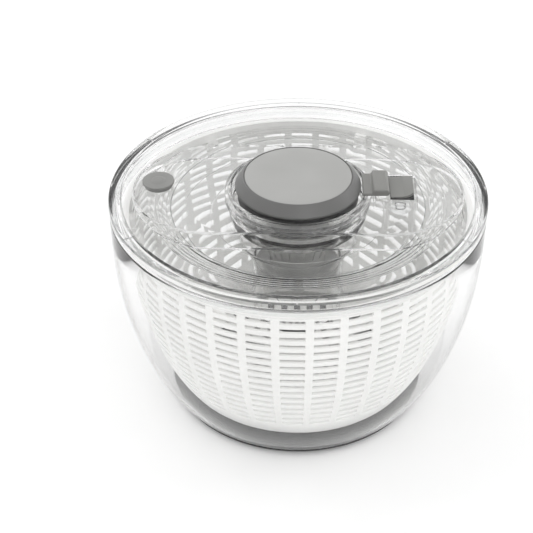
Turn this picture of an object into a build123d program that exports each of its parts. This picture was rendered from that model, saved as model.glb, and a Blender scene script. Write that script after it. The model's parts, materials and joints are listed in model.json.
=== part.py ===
"""Pump salad spinner: clear bowl, slotted basket and clear lid with a one-hand pump, a lock and a brake.

Frame: millimetres, +Z up. The origin is the centre of the face that the base ring stands on.
-Y is the front, +X points at the lock and the brake button, -X at the vent plug.
"""

from build123d import *
import math
import os

os.makedirs("parts", exist_ok=True)

# ---------------------------------------------------------------- driving dimensions
RUN_GAP = 0.4  # between pieces that move past each other
FIT_GAP = 0.1  # between pieces that are fixed to each other
SHAFT_GAP = 0.06  # radial, between a shaft and its bush

# bowl
BOWL_RADIUS = 132.5
BOWL_HEIGHT = 157.0  # up to the seam under the lid
BOWL_WALL = 2.5
SHOULDER_DROP = 22.0  # straight wall below the seam
SIDE_RADIUS = 270.0  # meridian of the upper side
LOW_RADIUS = 150.0  # meridian of the lower side
LOW_DROP = 117.0  # from the seam to where the two meet
FLOOR_THICK = 3.0
FLOOR_CORNER = 6.0
RIM_FILLET = 0.6

# base ring
FOOT_THICK = 5.0
FOOT_WIDTH = 24.0
FOOT_TUCK = 6.0  # how far the foot's lower edge stands in

# pivot
PIN_RADIUS = 3.0
PIN_RISE = 12.0  # above the boss
PIN_SUNK = 4.5  # below the boss's top
BOSS_RADIUS = 9.0
BOSS_RISE = 3.0
BUSH_WALL = 3.4

# basket
BASKET_INSET = 11.5  # from the bowl's outside to the basket's outside
BASKET_WALL = 2.0
BASKET_RIM_DROP = 6.0  # basket rim below the seam
BASKET_LIFT = 4.5  # basket floor above the bowl floor
BASKET_FLOOR = 2.0
RIM_FLANGE = 2.6
RIM_THICK = 2.2
SLOT_COLUMNS = 34
SLOT_ROWS = 17
SLOT_PITCH = 6.5
SLOT_HEIGHT = 2.9
SLOT_BAR = 5.5  # upright bar between two slots, at the rim
SLOT_FIRST_DROP = 11.0  # first row's middle below the basket rim
SOCKET_WALL = 2.5
DRAIN_RINGS = ((34.0, 12), (58.0, 24))  # (radius, count) of the floor's drain slots
DRAIN_LENGTH = 16.0
DRAIN_WIDTH = 4.0
DOG_COUNT = 6
DOG_WIDTH = 9.0
DOG_DEPTH = 4.5
DOG_HEIGHT = 9.0

# lid
SEAM_GAP = 0.3
RIM_HEIGHT = 8.0  # top of the lid's rim above the seam
RIM_ROUND = 1.6
RIM_LAND = 8.5  # flat top of the rim
LAND_SINK = 2.0  # step at the land's inner edge
LID_WALL = 2.2
DISH_OUTER = (105.0, 9.0)  # radius, and depth below the rim, of the dish's outer ring
DISH_INNER = (90.0, 12.5)  # the same for its inner ring
DISH_STEP = 0.8
SKIRT_DROP = 8.0
SKIRT_WALL = 2.4
SKIRT_GAP = 1.6  # to the bowl's inside
SEAL_RADIUS = 1.2  # of its section
NOTCH_COUNT = 6
NOTCH_WIDTH = 2.4
NOTCH_DEPTH = 0.8
NOTCH_LENGTH = 4.0  # in from the rim's outside

# deck
DECK_HALF_LENGTH = 116.5
DECK_HALF_WIDTH = 58.5
DECK_CROWN = 1.0  # rise from the deck's ends to its middle
DECK_ROUND = 1.6
WELL_RADIUS = 46.8
WELL_DEPTH = 16.0
COLLAR_WALL = 2.6
COLLAR_DEPTH = 6.0

# mechanism housing
HOUSING_TOP_RADIUS = 32.0
HOUSING_BOTTOM_RADIUS = 22.0
HOUSING_DEPTH = 32.0  # from the well's underside to the housing's underside
HOUSING_FLANGE_RADIUS = 40.0
HOUSING_FLANGE = 3.0
HOUSING_FLOOR = 2.5
HOUSING_WALL = 2.0
HOUSING_RIBS = 24
RIB_WIDTH = 1.4
RIB_RISE = 1.0
SPIGOT_RADIUS = 14.0
SPIGOT_WALL = 3.6
SPIGOT_NOSE = 1.3  # spigot below the clip
CLIP_THICK = 1.5
CLIP_WIDTH = 3.2
CLIP_GROOVE = 1.0
CLIP_OPENING = 60.0  # degrees

# drive plate
PLATE_THICK = 2.4
PLATE_DROP = 14.5  # plate top below the seam
PLATE_EDGE_GAP = 1.6  # to the basket's inside
PLATE_LIP = (2.0, 2.8)  # width and height of the turned-up edge
TUBE_RADIUS = 32.5
TUBE_WALL = 2.5
TUBE_FLOOR = 2.5
FUNNEL_TOP_RADIUS = 46.0
FUNNEL_WAIST_RADIUS = 43.0
FUNNEL_WAIST_DROP = 18.5  # below the plate's top
FUNNEL_END_DROP = 36.5  # where the funnel meets the tube
LEDGE_WIDTH = 5.6
LEDGE_THICK = 2.5
TRACK_INNER = 62.0
TRACK_OUTER = 82.0
TRACK_RISE = 1.2

# clutch
RACE_RADIUS = 17.4
RACE_WALL = 2.6
CUP_FLOOR = 2.5
CUP_LIP = 3.0
BUSH_THIN = 1.6  # wall of the bearing bush
BUSH_HEAD = 1.0
NUT_FLANGE_RADIUS = 16.0
NUT_FLANGE = 4.2
NUT_NECK = 6.0  # nut above its flange
NUT_STUB_RADIUS = 7.2
NUT_STUB = 9.5
ROLLER_COUNT = 3
ROLLER_RADIUS = 2.0
ROLLER_GAP = 0.3

# pump
STROKE = 28.0
ROD_LEAD = 28.0  # knob travel for one turn of the nut
ROD_WIDTH = 9.0
ROD_THICK = 4.0
ROD_GAP = 0.25
ROD_SPARE = 3.0  # rod below the nut when the knob is up
ROD_CLEAR = 2.0  # rod above the tube's floor when the knob is down
PLUNGER_RADIUS = 17.0
PLUNGER_WALL = 2.5
PLUNGER_FLANGE_RADIUS = 28.0
PLUNGER_FLANGE = 2.5
PLUNGER_FOOT_GAP = 1.5  # to the housing's floor
KEY_WIDTH = 4.0
KEY_RISE = 1.2
GUIDE_WALL = 3.0
GUIDE_HEIGHT = 11.0
ROD_BOSS_RADIUS = 7.5
ROD_BOSS = 8.0
SPRING_RADIUS = 11.0
SPRING_WIRE = 0.7  # radius of the wire
SPRING_TURNS = 7

# knob
KNOB_RADIUS = 44.1
KNOB_TOP_RADIUS = 38.3
KNOB_HEIGHT = 8.7  # above its edge
KNOB_EDGE = 1.6  # knob edge above the lid's rim
KNOB_WALL = 2.4
KNOB_LIP = 1.6  # edge beyond the skirt
KNOB_SKIRT = 9.0
KNOB_BOSS = 5.0
KNOB_BOSS_CIRCLE = 23.0
PAD_RADIUS = 37.5
PAD_THICK = 1.6

# lock and brake
CONTROL_WIDTH = 27.0  # of the lock and of the brake button
TRAY_START = 52.6
TRAY_WALL = 1.6
TRAY_GAP = 0.8
TRAY_DEPTH = 7.2  # tray floor's top below the lid's rim
TRAY_FLOOR = 1.5
TRAY_PROUD = 1.2  # tray edge above the lid's rim
LOCK_TIP = 44.9
LOCK_SPARE = 2.0  # left between the lock's leg and the brake button at the end of its travel
LOCK_END = 63.4
LOCK_TONGUE = 2.2
LOCK_RISE = 6.6  # thumb block above the lid's rim
LOCK_BEVEL = 1.4
LOCK_TRAVEL = 4.0
BUTTON_START = 64.0
BUTTON_END = 80.5
BUTTON_TOP = 1.2  # button's inner end above the lid's rim
BUTTON_DISH = 1.5
BUTTON_RISE = 3.4  # button's outer end above the lid's rim
BUTTON_WALL = 2.0
BRAKE_TRAVEL = 2.5
BRAKE_PLACE = 72.5
STEM_RADIUS = 5.0
STEM_PEG_RADIUS = 3.0
STEM_PEG = 1.6
SHOE_RADIUS = 7.5
SHOE_THICK = 2.8
BRAKE_COIL_RADIUS = 5.55
BRAKE_WIRE = 0.35
BRAKE_TURNS = 3

# vent plug
PLUG_PLACE = -98.0
PLUG_RADIUS = 11.2
PLUG_CAP = 2.0
PLUG_STEP_RADIUS = 9.9
PLUG_STEP = 2.6
PLUG_NUB_RADIUS = 4.4
PLUG_NUB = 0.9
PLUG_STEM_RADIUS = 7.0
PLUG_STEM = 8.0

# screws
SCREW_RADIUS = 1.5
SCREW_HEAD_RADIUS = 2.8
SCREW_HEAD = 1.8
SCREW_WALL = 1.7  # of the bosses that take them

# ---------------------------------------------------------------- places worked out from them
SHOULDER_Z = BOWL_HEIGHT - SHOULDER_DROP
LOW_Z = BOWL_HEIGHT - LOW_DROP
SIDE_CENTRE = (BOWL_RADIUS - SIDE_RADIUS, SHOULDER_Z)
LOW_ANGLE = math.degrees(math.asin((SHOULDER_Z - LOW_Z) / SIDE_RADIUS))
LOW_CENTRE = (
    SIDE_CENTRE[0] + (SIDE_RADIUS - LOW_RADIUS) * math.cos(math.radians(LOW_ANGLE)),
    SIDE_CENTRE[1] - (SIDE_RADIUS - LOW_RADIUS) * math.sin(math.radians(LOW_ANGLE)),
)
BOWL_FLOOR = FOOT_THICK + FLOOR_THICK
BOSS_TOP = BOWL_FLOOR + BOSS_RISE
PIN_TOP = BOSS_TOP + PIN_RISE
BASKET_BASE = BOWL_FLOOR + BASKET_LIFT
BASKET_RIM = BOWL_HEIGHT - BASKET_RIM_DROP
BASKET_INNER = BOWL_RADIUS - BASKET_INSET - BASKET_WALL
RIM_TOP = BOWL_HEIGHT + RIM_HEIGHT
DECK_TOP = RIM_TOP + DECK_CROWN
DECK_SPHERE = (DECK_HALF_LENGTH**2 + DECK_CROWN**2) / (2 * DECK_CROWN)
LAND_INNER = BOWL_RADIUS - RIM_LAND
WELL_FLOOR = RIM_TOP - WELL_DEPTH
WELL_UNDER = WELL_FLOOR - LID_WALL
WELL_OUTER = WELL_RADIUS + LID_WALL
COLLAR_RADIUS = WELL_RADIUS + COLLAR_WALL
HOUSING_UNDER = WELL_UNDER - HOUSING_DEPTH
CUP_TOP = HOUSING_UNDER - RUN_GAP - BUSH_HEAD
CLIP_TOP = CUP_TOP - CUP_LIP - 2 * RUN_GAP
SPIGOT_END = CLIP_TOP - CLIP_THICK - SPIGOT_NOSE
SPIGOT_BORE = SPIGOT_RADIUS - SPIGOT_WALL
NUT_TOP = SPIGOT_END - RUN_GAP
NUT_UNDER = NUT_TOP - NUT_FLANGE
CUP_INSIDE = NUT_UNDER - RUN_GAP
CUP_UNDER = CUP_INSIDE - CUP_FLOOR
TUBE_BORE = TUBE_RADIUS - TUBE_WALL
PLATE_TOP = BOWL_HEIGHT - PLATE_DROP
PLATE_UNDER = PLATE_TOP - PLATE_THICK
PLATE_EDGE = BASKET_INNER - PLATE_EDGE_GAP
KNOB_EDGE_Z = RIM_TOP + KNOB_EDGE
KNOB_TOP = KNOB_EDGE_Z + KNOB_HEIGHT
KNOB_UNDER = KNOB_TOP - PAD_THICK - KNOB_WALL
SKIRT_RADIUS = KNOB_RADIUS - KNOB_LIP
PLUNGER_TOP = KNOB_UNDER - KNOB_BOSS
PLUNGER_FOOT = HOUSING_UNDER + HOUSING_FLOOR + PLUNGER_FOOT_GAP
ROD_TOP = PLUNGER_TOP - PLUNGER_FLANGE
ROD_FOOT = NUT_UNDER - NUT_STUB - STROKE - ROD_SPARE
TUBE_BOTTOM = ROD_FOOT - ROD_CLEAR - TUBE_FLOOR
SCREW_BOSS_RADIUS = SCREW_RADIUS + SCREW_WALL
HOUSING_SCREW_CIRCLE = HOUSING_FLANGE_RADIUS - SCREW_HEAD_RADIUS - FIT_GAP
CUP_SCREW_CIRCLE = TUBE_BORE - SCREW_HEAD_RADIUS - 2 * FIT_GAP
TRAY_FLOOR_TOP = RIM_TOP - TRAY_DEPTH
TRAY_HALF_WIDTH = CONTROL_WIDTH / 2 + TRAY_GAP + TRAY_WALL
BUTTON_UNDER = TRAY_FLOOR_TOP + BRAKE_TRAVEL + RUN_GAP
SHOE_UNDER = PLATE_TOP + TRACK_RISE + BRAKE_TRAVEL + RUN_GAP
LOCK_LEG = BUTTON_START - LOCK_TRAVEL - LOCK_SPARE
BASE_ALIGN = (Align.CENTER, Align.CENTER, Align.MIN)


# ---------------------------------------------------------------- helpers
def wall_radius(inset, z):
    """Radius of the bowl's meridian, moved in by inset, at height z."""
    if z >= SHOULDER_Z:
        return BOWL_RADIUS - inset
    meeting_z = SIDE_CENTRE[1] - (SIDE_RADIUS - inset) * math.sin(math.radians(LOW_ANGLE))
    centre, radius = (SIDE_CENTRE, SIDE_RADIUS) if z >= meeting_z else (LOW_CENTRE, LOW_RADIUS)
    return centre[0] + math.sqrt((radius - inset) ** 2 - (centre[1] - z) ** 2)


def wall_line(inset, top, bottom):
    """Draws the meridian, moved in by inset, and returns its lower end."""
    Line((BOWL_RADIUS - inset, top), (BOWL_RADIUS - inset, SHOULDER_Z))
    CenterArc(SIDE_CENTRE, SIDE_RADIUS - inset, 0, -LOW_ANGLE)
    end_angle = math.degrees(math.asin((LOW_CENTRE[1] - bottom) / (LOW_RADIUS - inset)))
    CenterArc(LOW_CENTRE, LOW_RADIUS - inset, -LOW_ANGLE, LOW_ANGLE - end_angle)
    return (wall_radius(inset, bottom), bottom)


def turn(points, mode=Mode.ADD):
    """Turns a closed outline of (radius, height) points about Z, in the part being built."""
    with BuildSketch(Plane.XZ) as section:
        with BuildLine():
            Polyline(*points, close=True)
        make_face()
    revolve(section.sketch, axis=Axis.Z, mode=mode)


def post(radius, bottom, top, mode=Mode.ADD):
    """Adds an upright cylinder at the present locations, in the part being built."""
    with Locations((0, 0, bottom)):
        Cylinder(radius, top - bottom, align=BASE_ALIGN, mode=mode)


def dished(depth=0.0):
    """Points of the dish's upper surface from the rim's land to the middle, lowered by depth."""
    outer_radius, outer_drop = DISH_OUTER
    inner_radius, inner_drop = DISH_INNER
    return [
        (LAND_INNER - LAND_SINK / 2, RIM_TOP - LAND_SINK - depth),
        (outer_radius, RIM_TOP - outer_drop - depth),
        (outer_radius - DISH_STEP, RIM_TOP - outer_drop - DISH_STEP - depth),
        (inner_radius, RIM_TOP - inner_drop - depth),
    ]


def coil(radius, wire, bottom, top, turns):
    """Compression spring whose wire stays between bottom and top."""
    pitch = (top - bottom - 2 * wire) / turns
    path = Helix(pitch, top - bottom - 2 * wire, radius, center=(0, 0, bottom + wire))
    with BuildPart() as spring:
        with BuildSketch(Plane(origin=path @ 0, z_dir=path % 0)):
            Circle(wire)
        sweep(path=path)
    return spring.part


def screw(length):
    """Pan head screw along Z, with the head's underside at the origin and its shank pointing up."""
    with BuildPart() as piece:
        Cylinder(SCREW_RADIUS - FIT_GAP, length, align=BASE_ALIGN)
        with Locations((0, 0, -SCREW_HEAD)):
            Cylinder(SCREW_HEAD_RADIUS, SCREW_HEAD, align=BASE_ALIGN)
        fillet(piece.edges().group_by(Axis.Z)[0], radius=SCREW_HEAD / 3)
        with Locations((0, 0, -SCREW_HEAD)):
            Box(SCREW_HEAD_RADIUS, SCREW_HEAD / 3, SCREW_HEAD, mode=Mode.SUBTRACT)
            Box(SCREW_HEAD / 3, SCREW_HEAD_RADIUS, SCREW_HEAD, mode=Mode.SUBTRACT)
    return piece.part


def save(part, name):
    """Labels a finished piece and writes it."""
    part.label = name
    export_step(part, f"parts/{name}.step")


# ---------------------------------------------------------------- bowl
with BuildPart() as bowl:
    with BuildSketch(Plane.XZ):
        with BuildLine():
            outer_end = wall_line(0, BOWL_HEIGHT, FOOT_THICK)
            inner_end = wall_line(BOWL_WALL, BOWL_HEIGHT, BOWL_FLOOR)
            Line((BOWL_RADIUS, BOWL_HEIGHT), (BOWL_RADIUS - BOWL_WALL, BOWL_HEIGHT))
            Polyline(inner_end, (0, BOWL_FLOOR), (0, FOOT_THICK), outer_end)
        make_face()
    revolve(axis=Axis.Z)
    post(BOSS_RADIUS, BOWL_FLOOR, BOSS_TOP)
    post(PIN_RADIUS + FIT_GAP / 2, BOSS_TOP - PIN_SUNK, BOSS_TOP, Mode.SUBTRACT)
    floor_corner = bowl.edges().filter_by(GeomType.CIRCLE).filter_by(
        lambda edge: abs(edge.radius - inner_end[0]) < 0.01 and abs(edge.center().Z - BOWL_FLOOR) < 0.01
    )
    fillet(floor_corner, radius=FLOOR_CORNER)
    fillet(bowl.edges().group_by(Axis.Z)[-1], radius=RIM_FILLET)
save(bowl.part, "bowl")

# ---------------------------------------------------------------- base ring
foot_outer = wall_radius(0, FOOT_THICK)
with BuildPart() as base_ring:
    with BuildSketch(Plane.XZ):
        with BuildLine():
            Line((foot_outer - FOOT_WIDTH, FOOT_THICK), (foot_outer, FOOT_THICK))
            Spline((foot_outer, FOOT_THICK), (foot_outer - FOOT_TUCK, 0), tangents=((-0.5, -1), (-1, -0.1)))
            Polyline(
                (foot_outer - FOOT_TUCK, 0),
                (foot_outer - FOOT_WIDTH, 0),
                (foot_outer - FOOT_WIDTH, FOOT_THICK),
            )
        make_face()
    revolve(axis=Axis.Z)
save(base_ring.part, "base_ring")

# ---------------------------------------------------------------- pivot pin and its bush
with BuildPart() as pivot_pin:
    post(PIN_RADIUS, BOSS_TOP - PIN_SUNK + FIT_GAP, PIN_TOP)
    chamfer(pivot_pin.edges().group_by(Axis.Z)[-1], length=0.8)
save(pivot_pin.part, "pivot_pin")

bush_outer = PIN_RADIUS + SHAFT_GAP + BUSH_WALL
with BuildPart() as basket_bush:
    post(bush_outer, BASKET_BASE, PIN_TOP - RUN_GAP)
    post(PIN_RADIUS + SHAFT_GAP, BASKET_BASE, PIN_TOP, Mode.SUBTRACT)
save(basket_bush.part, "basket_bush")

# ---------------------------------------------------------------- lid shell
skirt_outer = BOWL_RADIUS - BOWL_WALL - SKIRT_GAP
seam_top = BOWL_HEIGHT + SEAM_GAP
skirt_end = BOWL_HEIGHT - SKIRT_DROP
seal_z = (seam_top + skirt_end) / 2
hole_radius = WELL_OUTER + RUN_GAP
inner_ring_radius, inner_ring_drop = DISH_INNER
dish_floor = RIM_TOP - inner_ring_drop
with BuildPart() as lid_shell:
    turn(
        [(BOWL_RADIUS, seam_top), (BOWL_RADIUS, RIM_TOP), (LAND_INNER, RIM_TOP)]
        + dished()
        + [(hole_radius, dish_floor), (hole_radius, dish_floor - LID_WALL)]
        + dished(LID_WALL)[::-1]
        + [
            (skirt_outer - SKIRT_WALL, RIM_TOP - LID_WALL - LAND_SINK / 2),
            (skirt_outer - SKIRT_WALL, skirt_end),
            (skirt_outer, skirt_end),
            (skirt_outer, seam_top),
        ]
    )
    rim_edges = lid_shell.edges().filter_by(GeomType.CIRCLE).group_by(Axis.Z)[-1]
    fillet(rim_edges.sort_by(SortBy.RADIUS)[-1], radius=RIM_ROUND)
    with BuildSketch(Plane.XZ):
        with Locations((skirt_outer, seal_z)):
            Circle(SEAL_RADIUS + FIT_GAP)
    revolve(axis=Axis.Z, mode=Mode.SUBTRACT)
    with PolarLocations(BOWL_RADIUS, NOTCH_COUNT, start_angle=180 / NOTCH_COUNT):
        with Locations((0, 0, RIM_TOP - NOTCH_DEPTH)):
            Box(2 * NOTCH_LENGTH, NOTCH_WIDTH, 2 * NOTCH_DEPTH, align=BASE_ALIGN, mode=Mode.SUBTRACT)
    with Locations((BRAKE_PLACE, 0, 0)):
        post(STEM_RADIUS + 2 * RUN_GAP, dish_floor - 2 * LID_WALL, dish_floor + LID_WALL, Mode.SUBTRACT)
save(lid_shell.part, "lid_shell")

with BuildPart() as lid_seal:
    with BuildSketch(Plane.XZ):
        with Locations((skirt_outer, seal_z)):
            Circle(SEAL_RADIUS)
    revolve(axis=Axis.Z)
save(lid_seal.part, "lid_seal")

# ---------------------------------------------------------------- deck with the knob's well
tray_end = BUTTON_END + TRAY_GAP + TRAY_WALL
guide_outer = PLUNGER_RADIUS + RUN_GAP + GUIDE_WALL
collar_under = RIM_TOP - COLLAR_DEPTH


def tray_outline(growth):
    """Draws the tray's outline in plan, grown by growth."""
    with Locations(((TRAY_START + tray_end) / 2, 0)):
        Rectangle(tray_end - TRAY_START + 2 * growth, 2 * (TRAY_HALF_WIDTH + growth))


def dome(thick, mode):
    """Works on the space under the deck's crowned surface, lowered by thick, in the part being built."""
    reach = DECK_HALF_LENGTH + RIM_LAND
    crown_z = DECK_TOP - thick
    edge_z = crown_z - DECK_SPHERE + math.sqrt(DECK_SPHERE**2 - reach**2)
    with BuildSketch(Plane.XZ) as section:
        with BuildLine():
            RadiusArc((0, crown_z), (reach, edge_z), DECK_SPHERE)
            Polyline((reach, edge_z), (reach, HOUSING_UNDER), (0, HOUSING_UNDER), (0, crown_z))
        make_face()
    revolve(section.sketch, axis=Axis.Z, mode=mode)


with BuildPart() as deck_cavity:
    with BuildSketch(Plane.XY.offset(WELL_UNDER - LID_WALL)):
        SlotOverall(2 * (DECK_HALF_LENGTH - LID_WALL), 2 * (DECK_HALF_WIDTH - LID_WALL))
    extrude(amount=DECK_TOP - WELL_UNDER + LID_WALL)
    dome(LID_WALL, Mode.INTERSECT)
    post(WELL_OUTER, WELL_UNDER - LID_WALL, collar_under - LID_WALL, Mode.SUBTRACT)
    post(COLLAR_RADIUS + LID_WALL, collar_under - LID_WALL, DECK_TOP, Mode.SUBTRACT)

with BuildPart() as lid_deck:
    with BuildSketch(Plane.XY.offset(WELL_UNDER)):
        SlotOverall(2 * DECK_HALF_LENGTH, 2 * DECK_HALF_WIDTH)
    extrude(amount=DECK_TOP - WELL_UNDER)
    dome(0, Mode.INTERSECT)
    deck_edges = lid_deck.edges().filter_by(
        lambda edge: (edge @ 0.5).Z > RIM_TOP - DECK_CROWN
        and math.hypot((edge @ 0.5).X, (edge @ 0.5).Y) > DECK_HALF_WIDTH - FIT_GAP
        and abs((edge % 0.5).Z) < 0.5
    )
    fillet(deck_edges, radius=DECK_ROUND)
    turn(
        [(WELL_OUTER, 0), (WELL_OUTER, dish_floor + FIT_GAP)]
        + [(radius, height + FIT_GAP) for radius, height in dished()[::-1]]
        + [(LAND_INNER + FIT_GAP, RIM_TOP), (BOWL_RADIUS, RIM_TOP), (BOWL_RADIUS, 0)],
        Mode.SUBTRACT,
    )
    add(deck_cavity.part, mode=Mode.SUBTRACT)
    post(WELL_RADIUS, WELL_FLOOR, DECK_TOP, Mode.SUBTRACT)
    post(COLLAR_RADIUS + FIT_GAP, collar_under, DECK_TOP, Mode.SUBTRACT)
    post(guide_outer + FIT_GAP, WELL_UNDER, WELL_FLOOR, Mode.SUBTRACT)
    with PolarLocations(HOUSING_SCREW_CIRCLE, 4, start_angle=45):
        post(SCREW_BOSS_RADIUS, WELL_FLOOR, WELL_FLOOR + 2 * LID_WALL)
        post(SCREW_RADIUS, WELL_UNDER, WELL_FLOOR + LID_WALL, Mode.SUBTRACT)
    with BuildSketch(Plane.XY.offset(TRAY_FLOOR_TOP)):
        tray_outline(FIT_GAP)
    extrude(amount=DECK_TOP - TRAY_FLOOR_TOP, mode=Mode.SUBTRACT)
    with Locations((PLUG_PLACE, 0, 0)):
        post(PLUG_STEM_RADIUS + RUN_GAP, TRAY_FLOOR_TOP, DECK_TOP, Mode.SUBTRACT)
save(lid_deck.part, "lid_deck")

with BuildPart() as knob_collar:
    post(COLLAR_RADIUS, collar_under + FIT_GAP, DECK_TOP)
    post(WELL_RADIUS, collar_under, DECK_TOP, Mode.SUBTRACT)
    fillet(knob_collar.edges().group_by(Axis.Z)[-1], radius=COLLAR_WALL / 3)
save(knob_collar.part, "knob_collar")

# ---------------------------------------------------------------- plunger's guide
with BuildPart() as guide_bush:
    post(guide_outer, WELL_UNDER, WELL_UNDER + GUIDE_HEIGHT)
    post(PLUNGER_RADIUS + RUN_GAP, WELL_UNDER, WELL_UNDER + GUIDE_HEIGHT, Mode.SUBTRACT)
    with PolarLocations(PLUNGER_RADIUS, 2):
        with Locations((0, 0, WELL_UNDER)):
            Box(
                2 * (KEY_RISE + RUN_GAP),
                KEY_WIDTH + 2 * RUN_GAP,
                GUIDE_HEIGHT,
                align=BASE_ALIGN,
                mode=Mode.SUBTRACT,
            )
save(guide_bush.part, "guide_bush")

# ---------------------------------------------------------------- mechanism housing
housing_top = WELL_UNDER - FIT_GAP
flange_under = housing_top - HOUSING_FLANGE
housing_floor = HOUSING_UNDER + HOUSING_FLOOR
groove_top = CLIP_TOP + FIT_GAP
groove_end = CLIP_TOP - CLIP_THICK - FIT_GAP
rod_reach = math.hypot(ROD_WIDTH, ROD_THICK) / 2
with BuildPart() as housing:
    turn(
        [
            (HOUSING_TOP_RADIUS - HOUSING_WALL, housing_top),
            (HOUSING_FLANGE_RADIUS, housing_top),
            (HOUSING_FLANGE_RADIUS, flange_under),
            (HOUSING_TOP_RADIUS, flange_under),
            (HOUSING_BOTTOM_RADIUS, HOUSING_UNDER),
            (SPIGOT_RADIUS, HOUSING_UNDER),
            (SPIGOT_RADIUS, groove_top),
            (SPIGOT_RADIUS - CLIP_GROOVE, groove_top),
            (SPIGOT_RADIUS - CLIP_GROOVE, groove_end),
            (SPIGOT_RADIUS, groove_end),
            (SPIGOT_RADIUS, SPIGOT_END),
            (SPIGOT_BORE, SPIGOT_END),
            (SPIGOT_BORE, HOUSING_UNDER),
            (rod_reach + 2 * RUN_GAP, HOUSING_UNDER),
            (rod_reach + 2 * RUN_GAP, housing_floor),
            (HOUSING_BOTTOM_RADIUS - HOUSING_WALL, housing_floor),
        ]
    )
    with BuildSketch(Plane.XZ) as rib_side:
        with BuildLine():
            Polyline(
                (HOUSING_TOP_RADIUS - HOUSING_WALL / 2, flange_under),
                (HOUSING_TOP_RADIUS + RIB_RISE, flange_under),
                (HOUSING_BOTTOM_RADIUS + RIB_RISE, HOUSING_UNDER),
                (HOUSING_BOTTOM_RADIUS - HOUSING_WALL / 2, HOUSING_UNDER),
                close=True,
            )
        make_face()
    rib = extrude(rib_side.sketch, amount=RIB_WIDTH / 2, both=True, mode=Mode.PRIVATE)
    add([rib.rotate(Axis.Z, 360 / HOUSING_RIBS * k) for k in range(HOUSING_RIBS)])
    with PolarLocations(HOUSING_SCREW_CIRCLE, 4, start_angle=45):
        post(SCREW_RADIUS, flange_under, housing_top, Mode.SUBTRACT)
save(housing.part, "housing")

housing_screw = screw(HOUSING_FLANGE + LID_WALL + LID_WALL / 2)
with BuildPart() as housing_screws:
    with PolarLocations(HOUSING_SCREW_CIRCLE, 4, start_angle=45):
        with Locations((0, 0, flange_under - FIT_GAP)):
            add(housing_screw)
save(housing_screws.part, "housing_screws")

with BuildPart() as retaining_clip:
    clip_inner = SPIGOT_RADIUS - CLIP_GROOVE + FIT_GAP
    post(clip_inner + CLIP_WIDTH, CLIP_TOP - CLIP_THICK, CLIP_TOP)
    post(clip_inner, CLIP_TOP - CLIP_THICK, CLIP_TOP, Mode.SUBTRACT)
    half_opening = 2 * SPIGOT_RADIUS * math.tan(math.radians(CLIP_OPENING / 2))
    with BuildSketch(Plane.XY.offset(CLIP_TOP - CLIP_THICK)):
        with BuildLine():
            Polyline(
                (0, 0),
                (2 * SPIGOT_RADIUS, half_opening),
                (2 * SPIGOT_RADIUS, -half_opening),
                close=True,
            )
        make_face()
    extrude(amount=CLIP_THICK, mode=Mode.SUBTRACT)
save(retaining_clip.part, "retaining_clip")

# ---------------------------------------------------------------- drive plate
waist_z = PLATE_TOP - FUNNEL_WAIST_DROP
funnel_end = PLATE_TOP - FUNNEL_END_DROP
lip_width, lip_height = PLATE_LIP
with BuildPart() as drive_plate:
    turn(
        [
            (FUNNEL_TOP_RADIUS - TUBE_WALL, PLATE_TOP),
            (TRACK_INNER, PLATE_TOP),
            (TRACK_INNER, PLATE_TOP + TRACK_RISE),
            (TRACK_OUTER, PLATE_TOP + TRACK_RISE),
            (TRACK_OUTER, PLATE_TOP),
            (PLATE_EDGE - lip_width, PLATE_TOP),
            (PLATE_EDGE - lip_width, PLATE_TOP + lip_height),
            (PLATE_EDGE, PLATE_TOP + lip_height),
            (PLATE_EDGE, PLATE_UNDER),
            (FUNNEL_TOP_RADIUS, PLATE_UNDER),
            (FUNNEL_WAIST_RADIUS, waist_z),
            (TUBE_RADIUS, funnel_end),
            (TUBE_RADIUS, TUBE_BOTTOM),
            (0, TUBE_BOTTOM),
            (0, TUBE_BOTTOM + TUBE_FLOOR),
            (TUBE_BORE, TUBE_BOTTOM + TUBE_FLOOR),
            (TUBE_BORE, CUP_UNDER - LEDGE_THICK),
            (TUBE_BORE - LEDGE_WIDTH, CUP_UNDER - LEDGE_THICK),
            (TUBE_BORE - LEDGE_WIDTH, CUP_UNDER),
            (TUBE_BORE, CUP_UNDER),
            (TUBE_BORE, funnel_end),
            (FUNNEL_WAIST_RADIUS - TUBE_WALL, waist_z),
        ]
    )
    with PolarLocations(BASKET_INNER, DOG_COUNT, start_angle=180 / SLOT_COLUMNS):
        with Locations((0, 0, PLATE_UNDER)):
            Box(
                2 * (DOG_DEPTH + 2 * RUN_GAP),
                DOG_WIDTH + 2 * RUN_GAP,
                PLATE_THICK + lip_height,
                align=BASE_ALIGN,
                mode=Mode.SUBTRACT,
            )
    with PolarLocations(CUP_SCREW_CIRCLE, 3):
        post(SCREW_RADIUS, CUP_UNDER - LEDGE_THICK, CUP_UNDER, Mode.SUBTRACT)
    fillet(drive_plate.edges().filter_by(GeomType.CIRCLE).group_by(Axis.Z)[0], radius=TUBE_WALL / 2)
save(drive_plate.part, "drive_plate")

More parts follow.
